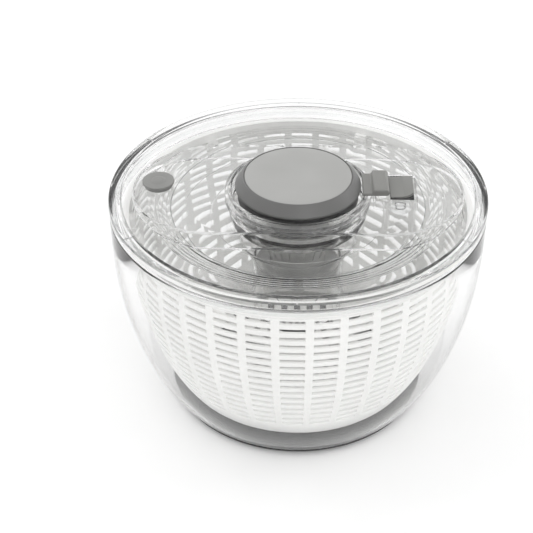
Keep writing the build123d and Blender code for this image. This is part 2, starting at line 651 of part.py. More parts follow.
# ---------------------------------------------------------------- clutch
bush_hole = SPIGOT_RADIUS + SHAFT_GAP + BUSH_THIN
stub_hole = NUT_STUB_RADIUS + RUN_GAP
with BuildPart() as clutch_cup:
    turn(
        [
            (bush_hole + FIT_GAP, CUP_TOP),
            (RACE_RADIUS + RACE_WALL, CUP_TOP),
            (RACE_RADIUS + RACE_WALL, CUP_INSIDE),
            (TUBE_BORE - FIT_GAP, CUP_INSIDE),
            (TUBE_BORE - FIT_GAP, CUP_UNDER),
            (stub_hole, CUP_UNDER),
            (stub_hole, CUP_INSIDE),
            (RACE_RADIUS, CUP_INSIDE),
            (RACE_RADIUS, CUP_TOP - CUP_LIP),
            (bush_hole + FIT_GAP, CUP_TOP - CUP_LIP),
        ]
    )
    with PolarLocations(CUP_SCREW_CIRCLE, 3):
        post(SCREW_RADIUS, CUP_UNDER, CUP_INSIDE, Mode.SUBTRACT)
save(clutch_cup.part, "clutch_cup")

cup_screw = screw(CUP_FLOOR + LEDGE_THICK).rotate(Axis.X, 180)
with BuildPart() as cup_screws:
    with PolarLocations(CUP_SCREW_CIRCLE, 3):
        with Locations((0, 0, CUP_INSIDE + FIT_GAP)):
            add(cup_screw)
save(cup_screws.part, "cup_screws")

with BuildPart() as bearing_bush:
    post(bush_hole, CUP_TOP - CUP_LIP, CUP_TOP)
    post(RACE_RADIUS + RACE_WALL - RUN_GAP, CUP_TOP, CUP_TOP + BUSH_HEAD)
    post(SPIGOT_RADIUS + SHAFT_GAP, CUP_TOP - CUP_LIP, CUP_TOP + BUSH_HEAD, Mode.SUBTRACT)
save(bearing_bush.part, "bearing_bush")


def twisted(width, thick, bottom, top):
    """Flat bar twisted once for each lead, in step with every other bar that this makes."""
    with BuildSketch(Plane.XY.offset(bottom)) as section:
        Rectangle(width, thick)
    face = section.sketch.faces()[0].rotate(Axis.Z, 360 * (bottom - ROD_FOOT) / ROD_LEAD)
    return Solid.extrude_linear_with_rotation(
        face, center=(0, 0, bottom), normal=(0, 0, top - bottom), angle=360 * (top - bottom) / ROD_LEAD
    )


roller_circle = RACE_RADIUS - ROLLER_GAP - ROLLER_RADIUS
nut_foot = NUT_UNDER - NUT_STUB
nut_cavity = twisted(ROD_WIDTH + 2 * ROD_GAP, ROD_THICK + 2 * ROD_GAP, nut_foot - 1, NUT_TOP + NUT_NECK + 1)
with BuildPart() as drive_nut:
    post(NUT_STUB_RADIUS, nut_foot, NUT_UNDER)
    post(NUT_FLANGE_RADIUS, NUT_UNDER, NUT_TOP)
    post(SPIGOT_BORE - RUN_GAP, NUT_TOP, NUT_TOP + NUT_NECK)
    with PolarLocations(roller_circle, ROLLER_COUNT):
        post(ROLLER_RADIUS + ROLLER_GAP, NUT_UNDER, NUT_TOP, Mode.SUBTRACT)
    add(nut_cavity, mode=Mode.SUBTRACT)
save(drive_nut.part, "drive_nut")

with BuildPart() as clutch_rollers:
    with PolarLocations(roller_circle, ROLLER_COUNT):
        post(ROLLER_RADIUS, NUT_UNDER, NUT_TOP)
    chamfer(clutch_rollers.edges().filter_by(GeomType.CIRCLE), length=ROLLER_RADIUS / 8)
save(clutch_rollers.part, "clutch_rollers")

# ---------------------------------------------------------------- plunger, rod and return spring
with BuildPart() as plunger:
    post(PLUNGER_FLANGE_RADIUS, PLUNGER_TOP - PLUNGER_FLANGE, PLUNGER_TOP)
    post(PLUNGER_RADIUS, PLUNGER_FOOT, PLUNGER_TOP - PLUNGER_FLANGE)
    with PolarLocations(PLUNGER_RADIUS, 2):
        with Locations((0, 0, PLUNGER_FOOT)):
            Box(2 * KEY_RISE, KEY_WIDTH, PLUNGER_TOP - PLUNGER_FLANGE - PLUNGER_FOOT, align=BASE_ALIGN)
    post(PLUNGER_RADIUS - PLUNGER_WALL, PLUNGER_FOOT, PLUNGER_TOP - PLUNGER_FLANGE, Mode.SUBTRACT)
    post(ROD_BOSS_RADIUS, ROD_TOP - ROD_BOSS, ROD_TOP)
    add(
        twisted(ROD_WIDTH + 2 * FIT_GAP, ROD_THICK + 2 * FIT_GAP, ROD_TOP - ROD_BOSS - 1, ROD_TOP),
        mode=Mode.SUBTRACT,
    )
    post(SCREW_RADIUS, ROD_TOP, PLUNGER_TOP, Mode.SUBTRACT)
    with PolarLocations(KNOB_BOSS_CIRCLE, 3):
        post(SCREW_RADIUS, PLUNGER_TOP - PLUNGER_FLANGE, PLUNGER_TOP, Mode.SUBTRACT)
save(plunger.part, "plunger")

with BuildPart() as twist_rod:
    add(twisted(ROD_WIDTH, ROD_THICK, ROD_FOOT, ROD_TOP - FIT_GAP))
    post(SCREW_RADIUS, ROD_TOP - ROD_BOSS, ROD_TOP, Mode.SUBTRACT)
save(twist_rod.part, "twist_rod")

rod_screw = screw(PLUNGER_FLANGE + ROD_BOSS / 2).rotate(Axis.X, 180)
save(rod_screw.moved(Location((0, 0, PLUNGER_TOP + FIT_GAP))), "rod_screw")

spring_top = PLUNGER_TOP - PLUNGER_FLANGE - FIT_GAP
return_spring = coil(SPRING_RADIUS, SPRING_WIRE, housing_floor + FIT_GAP, spring_top, SPRING_TURNS)
save(return_spring, "return_spring")

# ---------------------------------------------------------------- knob
pad_under = KNOB_TOP - PAD_THICK
with BuildPart() as knob_shell:
    turn(
        [
            (0, KNOB_UNDER),
            (0, pad_under),
            (PAD_RADIUS + FIT_GAP, pad_under),
            (PAD_RADIUS + FIT_GAP, KNOB_TOP),
            (KNOB_TOP_RADIUS, KNOB_TOP),
            (KNOB_RADIUS, KNOB_EDGE_Z + KNOB_LIP),
            (KNOB_RADIUS, KNOB_EDGE_Z),
            (SKIRT_RADIUS, KNOB_EDGE_Z - KNOB_LIP),
            (SKIRT_RADIUS, KNOB_EDGE_Z - KNOB_SKIRT),
            (SKIRT_RADIUS - KNOB_WALL, KNOB_EDGE_Z - KNOB_SKIRT),
            (SKIRT_RADIUS - KNOB_WALL, KNOB_EDGE_Z),
            (KNOB_TOP_RADIUS - KNOB_WALL, KNOB_UNDER),
        ]
    )
    with PolarLocations(KNOB_BOSS_CIRCLE, 3):
        post(SCREW_BOSS_RADIUS, PLUNGER_TOP, KNOB_UNDER)
        post(SCREW_RADIUS, PLUNGER_TOP, KNOB_UNDER, Mode.SUBTRACT)
save(knob_shell.part, "knob_shell")

with BuildPart() as knob_pad:
    post(PAD_RADIUS, pad_under, KNOB_TOP)
    fillet(knob_pad.edges().group_by(Axis.Z)[-1], radius=PAD_THICK / 4)
save(knob_pad.part, "knob_pad")

knob_screw = screw(PLUNGER_FLANGE + KNOB_BOSS - FIT_GAP)
with BuildPart() as knob_screws:
    with PolarLocations(KNOB_BOSS_CIRCLE, 3):
        with Locations((0, 0, PLUNGER_TOP - PLUNGER_FLANGE - FIT_GAP)):
            add(knob_screw)
save(knob_screws.part, "knob_screws")

# ---------------------------------------------------------------- tray of the lock and the brake button
with BuildPart() as control_tray:
    with BuildSketch(Plane.XY.offset(TRAY_FLOOR_TOP - TRAY_FLOOR)):
        tray_outline(0)
    extrude(amount=TRAY_FLOOR + TRAY_DEPTH + TRAY_PROUD)
    with BuildSketch(Plane.XY.offset(TRAY_FLOOR_TOP)):
        tray_outline(-TRAY_WALL)
    extrude(amount=TRAY_DEPTH + TRAY_PROUD, mode=Mode.SUBTRACT)
    with Locations((BRAKE_PLACE, 0, 0)):
        post(STEM_RADIUS + RUN_GAP, TRAY_FLOOR_TOP - TRAY_FLOOR, TRAY_FLOOR_TOP, Mode.SUBTRACT)
save(control_tray.part, "control_tray")

# ---------------------------------------------------------------- lock slider
lock_under = TRAY_FLOOR_TOP + RUN_GAP
leg_start = TRAY_START + TRAY_WALL + RUN_GAP
leg_width = CONTROL_WIDTH - 2 * LOCK_TONGUE
tray_top = RIM_TOP + TRAY_PROUD
slide_under = tray_top + RUN_GAP
with BuildPart() as lock_slider:
    with BuildSketch(Plane.XZ) as lock_side:
        with BuildLine():
            Polyline(
                (LOCK_TIP, slide_under),
                (LOCK_TIP, slide_under + LOCK_TONGUE),
                (TRAY_START - LOCK_BEVEL, slide_under + LOCK_TONGUE),
                (TRAY_START, RIM_TOP + LOCK_RISE),
                (LOCK_END - LOCK_BEVEL, RIM_TOP + LOCK_RISE),
                (LOCK_END, RIM_TOP + LOCK_RISE - LOCK_BEVEL),
                (LOCK_END, slide_under + LOCK_TONGUE / 2),
                (LOCK_END - LOCK_BEVEL, slide_under),
                close=True,
            )
        make_face()
    extrude(lock_side.sketch, amount=CONTROL_WIDTH / 2, both=True)
    fillet(lock_slider.edges().filter_by(Axis.X).group_by(Axis.Z)[-1], radius=LOCK_BEVEL)
    with Locations(((leg_start + LOCK_LEG) / 2, 0, lock_under)):
        Box(LOCK_LEG - leg_start, leg_width, slide_under - lock_under, align=BASE_ALIGN)
save(lock_slider.part, "lock_slider")

# ---------------------------------------------------------------- brake button, shoe and spring
button_middle = (BUTTON_START + BUTTON_END) / 2
button_length = BUTTON_END - BUTTON_START
shoe_top = SHOE_UNDER + SHOE_THICK
with BuildPart() as brake_button:
    with BuildSketch(Plane.XY.offset(BUTTON_UNDER)):
        with Locations((BUTTON_END - CONTROL_WIDTH / 2, 0)):
            Circle(CONTROL_WIDTH / 2)
        with Locations((BUTTON_START - CONTROL_WIDTH / 2, 0)):
            Rectangle(CONTROL_WIDTH, CONTROL_WIDTH, mode=Mode.SUBTRACT)
    extrude(amount=RIM_TOP + BUTTON_RISE - BUTTON_UNDER)
    with BuildSketch(Plane.XZ):
        with BuildLine():
            ThreePointArc(
                (BUTTON_START, RIM_TOP + BUTTON_TOP),
                (button_middle, RIM_TOP + BUTTON_DISH),
                (BUTTON_END, RIM_TOP + BUTTON_RISE),
            )
            Polyline(
                (BUTTON_END, RIM_TOP + BUTTON_RISE),
                (BUTTON_END, RIM_TOP + 2 * BUTTON_RISE),
                (BUTTON_START, RIM_TOP + 2 * BUTTON_RISE),
                (BUTTON_START, RIM_TOP + BUTTON_TOP),
            )
        make_face()
    extrude(amount=CONTROL_WIDTH, both=True, mode=Mode.SUBTRACT)
    with BuildSketch(Plane.XY.offset(BUTTON_UNDER)):
        with Locations((button_middle, 0)):
            Rectangle(button_length, CONTROL_WIDTH)
    extrude(amount=RIM_TOP + BUTTON_TOP / 2 - BUTTON_UNDER)
    with BuildSketch(Plane.XY.offset(BUTTON_UNDER)):
        with Locations((button_middle, 0)):
            Rectangle(button_length - 2 * BUTTON_WALL, CONTROL_WIDTH - 2 * BUTTON_WALL)
    extrude(amount=RIM_TOP + BUTTON_TOP / 2 - BUTTON_WALL - BUTTON_UNDER, mode=Mode.SUBTRACT)
    with Locations((BRAKE_PLACE, 0, 0)):
        post(STEM_RADIUS, shoe_top + FIT_GAP, RIM_TOP + BUTTON_TOP / 2 - BUTTON_WALL)
        post(STEM_PEG_RADIUS, shoe_top - STEM_PEG, shoe_top + FIT_GAP)
save(brake_button.part, "brake_button")

with BuildPart() as brake_shoe:
    with Locations((BRAKE_PLACE, 0, 0)):
        post(SHOE_RADIUS, SHOE_UNDER, shoe_top)
        post(STEM_PEG_RADIUS + FIT_GAP, shoe_top - STEM_PEG - FIT_GAP, shoe_top, Mode.SUBTRACT)
save(brake_shoe.part, "brake_shoe")

brake_coil_top = RIM_TOP + BUTTON_TOP / 2 - BUTTON_WALL - RUN_GAP
brake_coil = coil(BRAKE_COIL_RADIUS, BRAKE_WIRE, TRAY_FLOOR_TOP + FIT_GAP, brake_coil_top, BRAKE_TURNS)
save(brake_coil.moved(Location((BRAKE_PLACE, 0, 0))), "brake_spring")

# ---------------------------------------------------------------- vent plug
plug_seat = RIM_TOP + DECK_CROWN * (1 - (PLUG_PLACE / DECK_HALF_LENGTH) ** 2) + SEAM_GAP
cap_under = plug_seat + PLUG_STEP
with BuildPart() as vent_plug:
    with Locations((PLUG_PLACE, 0, 0)):
        post(PLUG_STEM_RADIUS, plug_seat - PLUG_STEM, plug_seat)
        post(PLUG_STEP_RADIUS, plug_seat, cap_under)
        post(PLUG_RADIUS, cap_under, cap_under + PLUG_CAP)
        post(PLUG_NUB_RADIUS, cap_under + PLUG_CAP, cap_under + PLUG_CAP + PLUG_NUB)
    fillet(vent_plug.edges().filter_by(GeomType.CIRCLE).group_by(Axis.Z)[-1], radius=PLUG_NUB * 0.9)
    plug_circles = vent_plug.edges().filter_by(GeomType.CIRCLE)
    fillet(plug_circles.group_by(SortBy.RADIUS)[-1], radius=PLUG_CAP / 4)
save(vent_plug.part, "vent_plug")

# ---------------------------------------------------------------- basket
slot_arc = 360 / SLOT_COLUMNS - math.degrees(SLOT_BAR / (BOWL_RADIUS - BASKET_INSET))
slot_cutters = []
for row in range(SLOT_ROWS):
    slot_z = BASKET_RIM - SLOT_FIRST_DROP - row * SLOT_PITCH
    slot_radius = wall_radius(BASKET_INSET + BASKET_WALL / 2, slot_z)
    with BuildPart() as slot_cutter:
        with BuildSketch(Plane.XY.offset(slot_z - SLOT_HEIGHT / 2)):
            with BuildLine():
                far = CenterArc((0, 0), slot_radius + 4 * BASKET_WALL, -slot_arc / 2, slot_arc)
                near = CenterArc((0, 0), slot_radius - 4 * BASKET_WALL, -slot_arc / 2, slot_arc)
                Line(far @ 0, near @ 0)
                Line(far @ 1, near @ 1)
            make_face()
        extrude(amount=SLOT_HEIGHT)
    for column in range(SLOT_COLUMNS):
        slot_cutters.append(slot_cutter.part.rotate(Axis.Z, 360 / SLOT_COLUMNS * column))

basket_inside = BASKET_BASE + BASKET_FLOOR
socket_top = PIN_TOP + RUN_GAP
with BuildPart() as basket:
    with BuildSketch(Plane.XZ):
        with BuildLine():
            outside_end = wall_line(BASKET_INSET, BASKET_RIM, BASKET_BASE)
            inside_end = wall_line(BASKET_INSET + BASKET_WALL, BASKET_RIM, basket_inside)
            Line((BASKET_INNER + BASKET_WALL, BASKET_RIM), (BASKET_INNER, BASKET_RIM))
            Polyline(inside_end, (0, basket_inside), (0, BASKET_BASE), outside_end)
        make_face()
    revolve(axis=Axis.Z)
    turn(
        [
            (BASKET_INNER + BASKET_WALL / 2, BASKET_RIM),
            (BASKET_INNER + BASKET_WALL + RIM_FLANGE, BASKET_RIM),
            (BASKET_INNER + BASKET_WALL + RIM_FLANGE, BASKET_RIM - RIM_THICK),
            (BASKET_INNER + BASKET_WALL / 2, BASKET_RIM - RIM_THICK),
        ]
    )
    fillet(basket.edges().filter_by(GeomType.CIRCLE).group_by(Axis.Z)[-1], radius=RIM_FILLET)
    post(bush_outer + FIT_GAP + SOCKET_WALL, BASKET_BASE, socket_top + SOCKET_WALL)
    post(bush_outer + FIT_GAP, BASKET_BASE, socket_top, Mode.SUBTRACT)
    with PolarLocations(BASKET_INNER, DOG_COUNT, start_angle=180 / SLOT_COLUMNS):
        with Locations((0, 0, PLATE_UNDER - DOG_HEIGHT / 3)):
            Box(2 * DOG_DEPTH, DOG_WIDTH, DOG_HEIGHT, align=BASE_ALIGN)
    turn(
        [
            (BASKET_INNER + BASKET_WALL, PLATE_UNDER - DOG_HEIGHT),
            (BASKET_INNER + BASKET_WALL, BASKET_RIM - RIM_THICK),
            (BOWL_RADIUS, BASKET_RIM - RIM_THICK),
            (BOWL_RADIUS, PLATE_UNDER - DOG_HEIGHT),
        ],
        Mode.SUBTRACT,
    )
    for drain_radius, drain_count in DRAIN_RINGS:
        with PolarLocations(drain_radius, drain_count):
            with Locations((0, 0, BASKET_BASE)):
                Box(DRAIN_LENGTH, DRAIN_WIDTH, BASKET_FLOOR, align=BASE_ALIGN, mode=Mode.SUBTRACT)
    add(slot_cutters, mode=Mode.SUBTRACT)
save(basket.part, "basket")
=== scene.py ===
"""Looks of the pump salad spinner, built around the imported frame.

Lengths are metres in the frame's own axes: +Z up, -Y towards the viewer, +X towards the lock and the brake.
Each sub-assembly is a class: its fields are its sizes, and build() makes and dresses its pieces.
"""

from __future__ import annotations

import json
import logging
import math
from dataclasses import dataclass
from enum import Enum
from functools import lru_cache
from typing import Any, Sequence

import bpy
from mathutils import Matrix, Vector


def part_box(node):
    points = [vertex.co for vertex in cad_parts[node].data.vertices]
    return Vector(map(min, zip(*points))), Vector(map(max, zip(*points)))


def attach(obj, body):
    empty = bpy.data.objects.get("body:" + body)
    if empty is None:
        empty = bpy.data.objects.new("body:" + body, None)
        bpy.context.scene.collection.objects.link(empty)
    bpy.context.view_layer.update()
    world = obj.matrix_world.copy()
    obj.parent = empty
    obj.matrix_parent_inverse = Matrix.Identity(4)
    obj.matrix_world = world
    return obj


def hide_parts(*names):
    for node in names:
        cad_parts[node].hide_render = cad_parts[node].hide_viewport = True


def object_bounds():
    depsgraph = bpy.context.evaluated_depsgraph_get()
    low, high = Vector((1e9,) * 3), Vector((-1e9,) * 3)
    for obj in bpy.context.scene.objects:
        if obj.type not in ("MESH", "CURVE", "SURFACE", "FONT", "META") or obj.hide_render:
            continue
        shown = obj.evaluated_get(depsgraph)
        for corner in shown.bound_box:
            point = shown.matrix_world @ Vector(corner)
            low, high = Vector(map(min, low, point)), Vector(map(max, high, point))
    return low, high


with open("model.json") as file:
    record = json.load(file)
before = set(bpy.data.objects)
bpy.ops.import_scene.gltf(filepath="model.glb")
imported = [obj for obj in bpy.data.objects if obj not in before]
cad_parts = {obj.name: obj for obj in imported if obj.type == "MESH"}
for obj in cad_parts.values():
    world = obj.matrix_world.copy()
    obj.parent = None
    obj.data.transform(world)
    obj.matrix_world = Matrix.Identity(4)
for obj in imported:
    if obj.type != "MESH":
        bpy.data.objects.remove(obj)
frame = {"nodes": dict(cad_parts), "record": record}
CAD_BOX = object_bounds()

LOG = logging.getLogger("salad_spinner")
MM = 0.001
Point = tuple[float, float]


class Steps(Enum):
    """How many steps a turned piece takes around the axis."""

    FINE = 192
    SMALL = 64


# ------------------------------------------------------------------ shaping helpers
def arc(centre: Point, radius: float, start: float, end: float, steps: int) -> list[Point]:
    """Points along a circular arc in the (radius, height) plane.

    Args:
        centre: Centre of the arc.
        radius: Radius of the arc.
        start: Angle of the first point, in degrees from the outward direction.
        end: Angle of the last point, in degrees.
        steps: Number of spans.

    Returns:
        The points from start to end, both included.
    """
    angles = [math.radians(start + (end - start) * k / steps) for k in range(steps + 1)]
    return [(centre[0] + radius * math.cos(a), centre[1] + radius * math.sin(a)) for a in angles]


def rounded(corners: Sequence[tuple[float, float, float]], spans: int = 4) -> list[Point]:
    """Closed outline with its corners rounded.

    Args:
        corners: (radius, height, rounding) of each corner, in order.
        spans: Number of spans in each rounded corner.

    Returns:
        The outline's points.
    """
    points: list[Point] = []
    count = len(corners)
    for k, (x, z, rounding) in enumerate(corners):
        here = Vector((x, z))
        before = Vector(corners[k - 1][:2]) - here
        after = Vector(corners[(k + 1) % count][:2]) - here
        limit = 0.45 * min(before.length, after.length)
        turn = before.angle(after)
        if rounding <= 0 or turn > math.radians(176):
            points.append((x, z))
            continue
        cut = min(rounding / math.tan(turn / 2), limit)
        start = here + before.normalized() * cut
        end = here + after.normalized() * cut
        for step in range(spans + 1):
            t = step / spans
            spot = start * (1 - t) ** 2 + here * 2 * t * (1 - t) + end * t**2
            points.append((spot.x, spot.y))
    return points


@lru_cache(maxsize=None)
def box_of(node: str) -> tuple[Vector, Vector]:
    """Returns the lowest and the highest corner of a frame node, measured once.

    Args:
        node: Name of the frame node.

    Returns:
        The two corners, in metres.
    """
    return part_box(node)


def deselect() -> None:
    """Leaves edit mode and deselects every object."""
    if bpy.context.object is not None and bpy.context.object.mode != "OBJECT":
        bpy.ops.object.mode_set(mode="OBJECT")
    bpy.ops.object.select_all(action="DESELECT")


def activate(piece: bpy.types.Object) -> None:
    """Makes a piece the only selected and the active object."""
    deselect()
    piece.select_set(True)
    bpy.context.view_layer.objects.active = piece


def drawn(name: str, line: Sequence[Point], across: float = 0.0) -> bpy.types.Object:
    """Starts a piece as a single point and extrudes it along a line in the XZ plane.

    Args:
        name: Name of the piece.
        line: (x, height) points, in order.
        across: Y of the line.

    Returns:
        The piece, all selected and in edit mode.
    """
    deselect()
    bpy.ops.mesh.primitive_plane_add(size=MM)
    piece = bpy.context.object
    piece.name = name
    piece.data.name = name
    bpy.ops.object.mode_set(mode="EDIT")
    bpy.ops.mesh.select_all(action="SELECT")
    bpy.ops.mesh.merge(type="CENTER")
    bpy.ops.transform.translate(value=(line[0][0], across, line[0][1]))
    for last, point in zip(line, line[1:]):
        step = (point[0] - last[0], 0.0, point[1] - last[1])
        bpy.ops.mesh.extrude_region_move(TRANSFORM_OT_translate={"value": step})
    bpy.ops.mesh.select_all(action="SELECT")
    return piece


def block(name: str, size: Sequence[float], centre: Sequence[float]) -> bpy.types.Object:
    """Makes a box of a size about a centre, with its place in its mesh."""
    deselect()
    bpy.ops.mesh.primitive_cube_add(size=1.0, location=centre)
    piece = bpy.context.object
    piece.name = name
    bpy.ops.transform.resize(value=size)
    bpy.ops.object.transform_apply(location=True, rotation=True, scale=True)
    return piece


def swung(piece: bpy.types.Object, angle: float) -> bpy.types.Object:
    """Turns the active piece's mesh about Z, by an angle in radians."""
    bpy.ops.object.mode_set(mode="EDIT")
    bpy.ops.mesh.select_all(action="SELECT")
    bpy.ops.transform.rotate(value=-angle, orient_axis="Z", center_override=(0, 0, 0))
    bpy.ops.object.mode_set(mode="OBJECT")
    return piece


def turned(
    name: str, outline: Sequence[Point], steps: Steps = Steps.FINE, sharp: float = 40.0
) -> bpy.types.Object:
    """Draws a closed outline by extruding a point and spins it about Z.

    Args:
        name: Name of the piece.
        outline: (radius, height) points, in order.
        steps: Steps around the axis.
        sharp: Angle in degrees past which an edge stays sharp.

    Returns:
        The finished piece, with its place in its mesh.
    """
    piece = drawn(name, [*outline, outline[0]])
    bpy.ops.mesh.remove_doubles(threshold=MM / 100)
    bpy.ops.mesh.select_all(action="SELECT")
    bpy.ops.mesh.spin(steps=steps.value, angle=math.tau, center=(0, 0, 0), axis=(0, 0, 1))
    bpy.ops.mesh.select_all(action="SELECT")
    bpy.ops.mesh.remove_doubles(threshold=MM / 100)
    bpy.ops.mesh.delete_loose(use_faces=False)
    bpy.ops.mesh.select_all(action="SELECT")
    bpy.ops.mesh.normals_make_consistent(inside=False)
    return smoothed(piece, sharp)


def smoothed(piece: bpy.types.Object, sharp: float = 40.0) -> bpy.types.Object:
    """Shades a piece smooth up to an angle and puts its place in its mesh."""
    if bpy.context.object is not None and bpy.context.object.mode != "OBJECT":
        bpy.ops.object.mode_set(mode="OBJECT")
    activate(piece)
    bpy.ops.object.transform_apply(location=True, rotation=True, scale=True)
    bpy.ops.object.shade_smooth_by_angle(angle=math.radians(sharp))
    return piece


def modify(piece: bpy.types.Object, kind: str, **settings: Any) -> None:
    """Adds a modifier with its settings and applies it."""
    activate(piece)
    modifier = piece.modifiers.new(kind.lower(), kind)
    for key, value in settings.items():
        setattr(modifier, key, value)
    bpy.ops.object.modifier_apply(modifier=modifier.name)


def softened(piece: bpy.types.Object, width: float, segments: int, angle: float) -> None:
    """Rounds a piece's edges that turn by more than an angle.

    Args:
        piece: The piece.
        width: Width of the rounding.
        segments: Spans across it.
        angle: Least angle, in radians.
    """
    modify(piece, "BEVEL", width=width, segments=segments, limit_method="ANGLE", angle_limit=angle)


def merged_copy(node: str, name: str, sharp: float = 30.0) -> bpy.types.Object:
    """Copies a frame node, joins its loose triangles and shades them smooth.

    Args:
        node: Name of the frame node.
        name: Name of the new piece.
        sharp: Angle in degrees past which an edge stays sharp.

    Returns:
        The new piece.
    """
    deselect()
    piece = frame["nodes"][node].copy()
    piece.data = piece.data.copy()
    piece.name = name
    piece.data.name = name
    piece.parent = None
    bpy.context.scene.collection.objects.link(piece)
    activate(piece)
    bpy.ops.object.mode_set(mode="EDIT")
    bpy.ops.mesh.select_all(action="SELECT")
    bpy.ops.mesh.customdata_custom_splitnormals_clear()
    bpy.ops.mesh.remove_doubles(threshold=MM / 1000)
    bpy.ops.mesh.dissolve_limited(angle_limit=math.radians(0.2))
    return smoothed(piece, sharp)


def prism(name: str, outline: Sequence[Point], half_width: float) -> bpy.types.Object:
    """Draws an (x, height) outline, fills it and extrudes it across Y.

    Args:
        name: Name of the piece.
        outline: Points of the outline, in order.
        half_width: How far the piece reaches to each side.

    Returns:
        The piece, in object mode.
    """
    piece = drawn(name, [*outline, outline[0]], -half_width)
    bpy.ops.mesh.remove_doubles(threshold=MM / 100)
    bpy.ops.mesh.select_all(action="SELECT")
    bpy.ops.mesh.edge_face_add()
    bpy.ops.mesh.extrude_region_move(TRANSFORM_OT_translate={"value": (0, 2 * half_width, 0)})
    bpy.ops.mesh.select_all(action="SELECT")
    bpy.ops.mesh.normals_make_consistent(inside=False)
    return smoothed(piece, 30.0)


def joined(parts: Sequence[bpy.types.Object], name: str) -> bpy.types.Object:
    """Joins pieces into the first of them and names it."""
    deselect()
    for part in parts:
        part.select_set(True)
    bpy.context.view_layer.objects.active = parts[0]
    bpy.ops.object.join()
    parts[0].name = name
    parts[0].data.name = name
    return smoothed(parts[0], 30.0)


def paint_shade_in_rings(piece: bpy.types.Object, finish: "Surface", rings: Sequence[tuple[float, ...]]) -> None:
    """Paints shade onto a turned piece: gives its faces inside some rings a second, darker finish.

    Args:
        piece: The piece, which already has its main finish.
        finish: The darker finish, painted shade.
        rings: (least radius, greatest radius, lowest, highest) of each ring.
    """
    piece.data.materials.append(finish.material())
    number = len(piece.data.materials) - 1
    for face in piece.data.polygons:
        radius, height = math.hypot(face.center.x, face.center.y), face.center.z
        if any(a <= radius <= b and low <= height <= high for a, b, low, high in rings):
            face.material_index = number


def place(piece: bpy.types.Object, body: str, slot: str, finish: "Surface", *nodes: str) -> None:
    """Gives a new piece its finish and body, and hides the frame nodes that it stands for.

    Args:
        piece: The finished piece.
        body: Body that it moves with.
        slot: The record's material slot; not used.
        finish: Its finish.
        nodes: Frame nodes that it replaces.
    """
    piece.data.materials.clear()
    piece.data.materials.append(finish.material())
    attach(piece, body)
    if nodes:
        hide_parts(*nodes)
    LOG.info("%s: %d faces on %s", piece.name, len(piece.data.polygons), body)


# ------------------------------------------------------------------ finishes
def linear(hex_colour: str) -> tuple[float, float, float, float]:
    """Turns an sRGB hex colour such as "8a8a88" into linear RGBA."""
    channels = [int(hex_colour[k : k + 2], 16) / 255 for k in (0, 2, 4)]
    red, green, blue = [c / 12.92 if c <= 0.04045 else ((c + 0.055) / 1.055) ** 2.4 for c in channels]
    return (red, green, blue, 1.0)


def add_node(
    tree: bpy.types.NodeTree,
    kind: str,
    values: dict[str, Any] | None = None,
    links: dict[str, bpy.types.NodeSocket] | None = None,
    **settings: Any,
) -> bpy.types.Node:
    """Adds a shader node with its settings, input values and links.

    Args:
        tree: The node tree.
        kind: Type name of the node.
        values: Input name to default value.
        links: Input name to the socket that feeds it.
        settings: Node properties.

    Returns:
        The node.
    """
    node = tree.nodes.new(kind)
    for key, value in settings.items():
        setattr(node, key, value)
    for key, value in (values or {}).items():
        node.inputs[key].default_value = value
    for key, socket in (links or {}).items():
        tree.links.new(socket, node.inputs[key])
    return node


def noise(tree: bpy.types.NodeTree, scale: float, detail: float) -> bpy.types.NodeSocket:
    """Returns noise laid on the piece's own coordinates."""
    spot = add_node(tree, "ShaderNodeTexCoord").outputs["Object"]
    node = add_node(tree, "ShaderNodeTexNoise", {"Scale": scale, "Detail": detail}, {"Vector": spot})
    return node.outputs["Fac"]


def bump(
    tree: bpy.types.NodeTree, strength: float, depth: float, **links: bpy.types.NodeSocket
) -> bpy.types.NodeSocket:
    """Returns a normal raised by the socket Height over the socket Normal, if that is given."""
    node = add_node(tree, "ShaderNodeBump", {"Strength": strength, "Distance": depth}, links)
    return node.outputs["Normal"]


@dataclass(frozen=True)
class Surface:
    """What a piece is made of: a named material whose nodes a kind of surface fills in."""

    name: str

    def material(self) -> bpy.types.Material:
        """Returns the finish's material, made on first use."""
        found = bpy.data.materials.get(self.name)
        if found is not None:
            return found
        material = bpy.data.materials.new(self.name)
        material.use_nodes = True
        tree = material.node_tree
        tree.nodes.clear()
        self.fill(tree)
        return material

    def fill(self, tree: bpy.types.NodeTree) -> None:
        """Builds the material's nodes in an empty tree."""
        raise NotImplementedError


